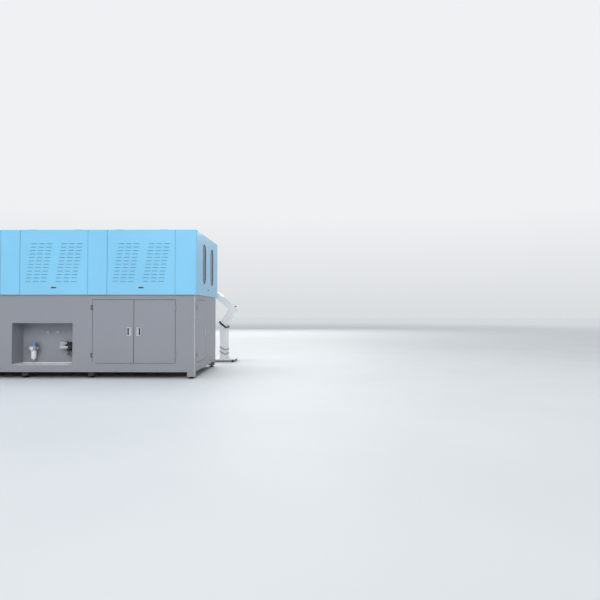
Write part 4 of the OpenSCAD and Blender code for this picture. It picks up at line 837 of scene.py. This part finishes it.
# Oven
# Black sheet walls and roof, screwed together round the chain's back run. A ladder of quartz
# lamps with ceramic caps stands before bright reflector slats.
oven_black = coated("oven_black", rgb(30, 31, 33), 0.5, 0.0, 0.1)
dress(oven_black, "oven_housing")
quartz = clouded("quartz_lamp", {"Emission Strength": 0.6}, (rgb(226, 196, 150), rgb(246, 226, 190)),
                 0.15, 0.1, (30.0, 3.0), glow=(rgb(200, 120, 60), rgb(250, 170, 90)))
dress(quartz, "oven_lamps")
LAMP_Z, LAMP_PITCH = 1370, 38
caps = Layout("lamp_caps", radius=0.0085, length=0.026)
ceramic = moulded("ceramic", rgb(222, 216, 200), rgb(236, 230, 216), 0.5, 120.0)
caps.disc(ceramic, caps.size("radius"), caps.size("length"), 0.0)
caps.disc(ceramic, caps.size("radius") * 0.7, 0.004, caps.size("length"))
caps.close()
lamp_ends = [(at(x, 492, LAMP_Z + LAMP_PITCH * step), facing)
             for step in range(8) for x, facing in ((907.5, to_aisle), (1942.5, to_wall))]
caps.lay("lamp_caps", "machine", "lamp", lamp_ends)
mirror_sheet = bare("reflector_sheet", rgb(206, 204, 196), rgb(232, 230, 222), 0.12, 0.1, 14.0)
reflector = bmesh.new()
for z in range(1342, 1342 + 9 * LAMP_PITCH, LAMP_PITCH):
    plank(reflector, at(935, 471, z), at(1915, 472.5, z + 24), 0.0005)
new_piece("lamp_reflector", reflector, mirror_sheet, "machine")
heat_slots = bmesh.new()
for x in range(955, 955 + 10 * 98, 98):
    for z in (1420, 1500, 1580, 1660):
        plank(heat_slots, at(x, 719.6, z), at(x + 60, 721.4, z + 8), 0.0006)
new_piece("oven_vent_lips", heat_slots, oven_black, "machine")
OVEN_SCREW_Z = (1346, 1734)
screw_down("oven_screws", "machine", "zinc", 0.004, 0.003,
           [(at(x, 720, z), to_front) for x in (892, 1158, 1425, 1692, 1958) for z in OVEN_SCREW_Z]
           + [(at(x, 400, z), to_back) for x in (892, 1425, 1958) for z in OVEN_SCREW_Z])

# Clamp
# Two end plates on four tie bars carry a cylinder on each side, and the platens with the blow
# mould's halves slide on the bars.
plate_steel = bare("plate_steel", rgb(128, 130, 134), rgb(164, 166, 170), 0.32, 0.18, 8.0, (1.0, 1.0, 8.0))
mould_steel = bare("mould_steel", rgb(176, 178, 182), rgb(212, 213, 216), 0.16, 0.14, 10.0)
brass = bare("brass", rgb(176, 136, 62), rgb(214, 178, 104), 0.20, 0.18, 45.0)
dress(plate_steel, "clamp_frame")
dress(mould_steel, "mould_half_back", "mould_half_front")
CLAMP_X, CLAMP_Y = 3010, 1000
tie_nut = Layout("tie_nut", across=0.041, thick=0.030)
nut_across, nut_thick = tie_nut.size("across"), tie_nut.size("thick")
tie_nut.disc(plate_steel, nut_across * 1.06, 0.004, 0.0, sides=32)
tie_nut.disc(plate_steel, nut_across, nut_thick, 0.004, sides=6)
tie_nut.disc(steel, nut_across * 0.62, 0.012, nut_thick + 0.004, sides=24, top=0.94)
tie_nut.close()
tie_nut.lay("tie_bar_nuts", "machine", "steel",
            [(at(x, y, z), facing, up) for x in (2610, 3410) for z in (1250, 1630)
             for y, facing in ((620, to_back), (1380, to_front))])
for body, y, facing in (("mould_back", CLAMP_Y - 120, to_back), ("mould_front", CLAMP_Y + 120, to_front)):
    screw_down("mould_bolts_" + body, body, "steel", 0.010, 0.010,
               [(at(x, y, z), facing) for x in (2740, 2900, 3120, 3280) for z in (1310, 1570)])
BOLT_RING, CYLINDER_Z = 48, 1440
ring_angles = [math.radians(30 + 60 * step) for step in range(6)]
screw_down("cylinder_bolts", "machine", "zinc", 0.006, 0.006,
           [(at(CLAMP_X + BOLT_RING * math.cos(a), y, CYLINDER_Z + BOLT_RING * math.sin(a)), facing)
            for y, facing in ((470, to_back), (1530, to_front)) for a in ring_angles])
PORT = [(0.0, -0.004), (0.013, -0.004), (0.013, 0.010), (0.009, 0.011), (0.009, 0.026), (0.0, 0.026)]
ports = bmesh.new()
for y in (595, 485, 1405, 1515):
    turned(ports, PORT, at(CLAMP_X, y, 1500), up, 24)
new_piece("cylinder_ports", ports, brass, "machine")
NIPPLE = [(0.0, 0.0), (0.009, 0.0), (0.009, 0.008), (0.006, 0.009), (0.006, 0.026), (0.0, 0.026)]
for body, y in (("mould_back", CLAMP_Y - 40), ("mould_front", CLAMP_Y + 40)):
    nipples = bmesh.new()
    for x, facing in ((2680, to_wall), (3340, to_aisle)):
        for z in (1340, 1540):
            turned(nipples, NIPPLE, at(x, y, z), facing, 16)
    new_piece("cooling_nipples_" + body, nipples, brass, body)

# Stretch unit
# A black portal over the clamp, with cap screws in its top and two guide rods, on which the steel
# head and its stretch rods slide.
dress(frame_black, "stretch_portal")
dress(steel, "stretch_head")
screw_down("portal_screws", "machine", "zinc", 0.007, 0.007,
           [(at(x, y, 1960), up) for x in (2525, 3495) for y in (965, 1035)]
           + [(at(CLAMP_X + dx, CLAMP_Y + dy, 1960), up) for dx in (-38, 38) for dy in (-38, 38)])

# Transfer unit
# A black rail on the table with a cast carriage, whose forked arms hand warm preforms to the
# mould. Cap screws hold each arm.
dress(frame_black, "transfer_rail")
dress(cast_metal, "transfer_carriage")
screw_down("carriage_screws", "transfer_carriage", "zinc", 0.004, 0.004,
           [(at(1637.5 + 75 * arm + dx, 1062, 1372), up) for arm in range(4) for dx in (-10, 10)])

# Operator console
# A white powder coated sheet column on a wheeled foot, with a dark touch screen, a red stop
# button on a yellow collar, a green start button, and turns of black cable round the column.
CASTER_TOP, DUST_LOW, DUST_HIGH = 0.0495, 0.05, 0.40
WHITE = rgb(246, 247, 248)
white_coat = coated("white_coat", WHITE, 0.32, 0.3, 0.2)
dress(white_coat, "console_column")
foot_place = white_coat.place()
foot_height = white_coat.axes(foot_place)[2]
foot_cloud = white_coat.noise(foot_place, 14.0, 6.0, 0.65)
foot_dust = (1.0 - foot_height.ramp(DUST_LOW, DUST_HIGH)) * foot_cloud * 0.3
white_tone = white_coat.mix(foot_dust, WHITE, rgb(176, 174, 168))
caster_tone = white_coat.mix(foot_cloud, rgb(30, 30, 32), rgb(52, 52, 54))
white_coat.feed("Base Color", white_coat.mix(foot_height < CASTER_TOP, white_tone, caster_tone))
screen_glass = clouded("screen_glass", {"Coat Weight": 0.8, "Coat Roughness": 0.02},
                       (rgb(12, 16, 22), rgb(22, 28, 38)), 0.08, 0.08, (5.0, 3.0))
dress(screen_glass, "console_screen")
dress(red_plastic, "emergency_stop")
green_plastic = moulded("green_plastic", rgb(18, 130, 60), rgb(26, 150, 72), 0.3, coat=0.3)
dress(green_plastic, "start_button")
CONSOLE_Y = 2550
CONSOLE_ELBOW = at(4223, CONSOLE_Y, 1008)
HEAD_TURN = Matrix.Rotation(math.radians(40.0), 4, "Y") @ Matrix.Diagonal((-1.0, 1.0, 1.0, 1.0))


def on_head(along, across, proud):
    """A point on the console's sloping head, in mm: up the slope, across it, and out of it."""
    return CONSOLE_ELBOW + HEAD_TURN @ Vector((along, across, proud)) / 1000.0


out_of_head = (HEAD_TURN @ Vector((0.0, 0.0, 1.0))).normalized()
yellow_plastic = moulded("yellow_plastic", rgb(226, 180, 20), rgb(240, 196, 34), 0.34, coat=0.3)
STOP_COLLAR = [(0.0206, 0.0), (0.030, 0.0), (0.030, 0.0015), (0.0285, 0.0025), (0.0206, 0.0025)]
START_BEZEL = [(0.0136, 0.0), (0.019, 0.0), (0.019, 0.0012), (0.018, 0.0022), (0.0136, 0.0022)]
for name, ring, across, finish, slot in (("stop_collar", STOP_COLLAR, -70, yellow_plastic, "red_plastic"),
                                         ("start_bezel", START_BEZEL, 70, chrome, "chrome")):
    collar = bmesh.new()
    turned(collar, ring, on_head(35, across, 0.2), out_of_head, 40, True)
    new_piece(name, collar, finish, "machine")
screw_down("head_screws", "machine", "zinc", 0.004, 0.0025,
           [(on_head(along, across, 0), out_of_head) for along in (22, 458) for across in (-198, 198)])
screw_down("foot_screws", "machine", "zinc", 0.008, 0.006,
           [(at(x, CONSOLE_Y + dy, 62), up) for x in (3918, 4058) for dy in (-150, 150)])
screw_down("column_screws", "machine", "zinc", 0.004, 0.0025,
           [(at(4037, CONSOLE_Y + dy, z), to_aisle) for z in (120, 360, 600) for dy in (-195, 195)])
UNDER_GLASS, FIELD_TOP, TILE_TOP = 2.9, 3.15, 3.25


def tile(shape, low, high, proud):
    """Adds one flat block of the screen's picture between two corners on the head, in mm."""
    corners = [(low[0], low[1]), (high[0], low[1]), (high[0], high[1]), (low[0], high[1])]
    skinned(shape, [[shape.verts.new(on_head(along, across, level)) for along, across in corners]
                    for level in (UNDER_GLASS, proud)])


TILES_LEFT, TILE_PITCH, BAR_PITCH, BAR_WIDTH = -138, 70, 47, 37
screen_field, screen_tiles, screen_bars = bmesh.new(), bmesh.new(), bmesh.new()
tile(screen_field, (92, -148), (318, 148), FIELD_TOP)
for low in (150, 212):
    for across in range(TILES_LEFT, TILES_LEFT + 4 * TILE_PITCH, TILE_PITCH):
        tile(screen_tiles, (low, across), (low + 52, across + 60), TILE_TOP)
for column in range(6):
    across = TILES_LEFT + BAR_PITCH * column
    bar_height = 4 * (2 + column * 5 % 7)
    tile(screen_bars, (102, across), (136, across + BAR_WIDTH), TILE_TOP)
    tile(screen_tiles, (284, across), (284 + bar_height, across + BAR_WIDTH), TILE_TOP)
for label, shape, colour in (("field", screen_field, rgb(40, 62, 96)),
                             ("tiles", screen_tiles, rgb(62, 150, 150)),
                             ("bars", screen_bars, rgb(176, 188, 200))):
    tones = (shade(colour, 0.85), colour)
    lit_glass = clouded("screen_" + label,
                        {"Emission Strength": 0.35, "Coat Weight": 0.8, "Coat Roughness": 0.02},
                        tones, 0.08, 0.08, (9.0, 3.0), glow=tones)
    new_piece("screen_" + label, shape, lit_glass, "machine")
cable_rubber = moulded("cable_rubber", rgb(24, 24, 25), rgb(34, 34, 35), 0.55)
dress(cable_rubber, "console_cable")
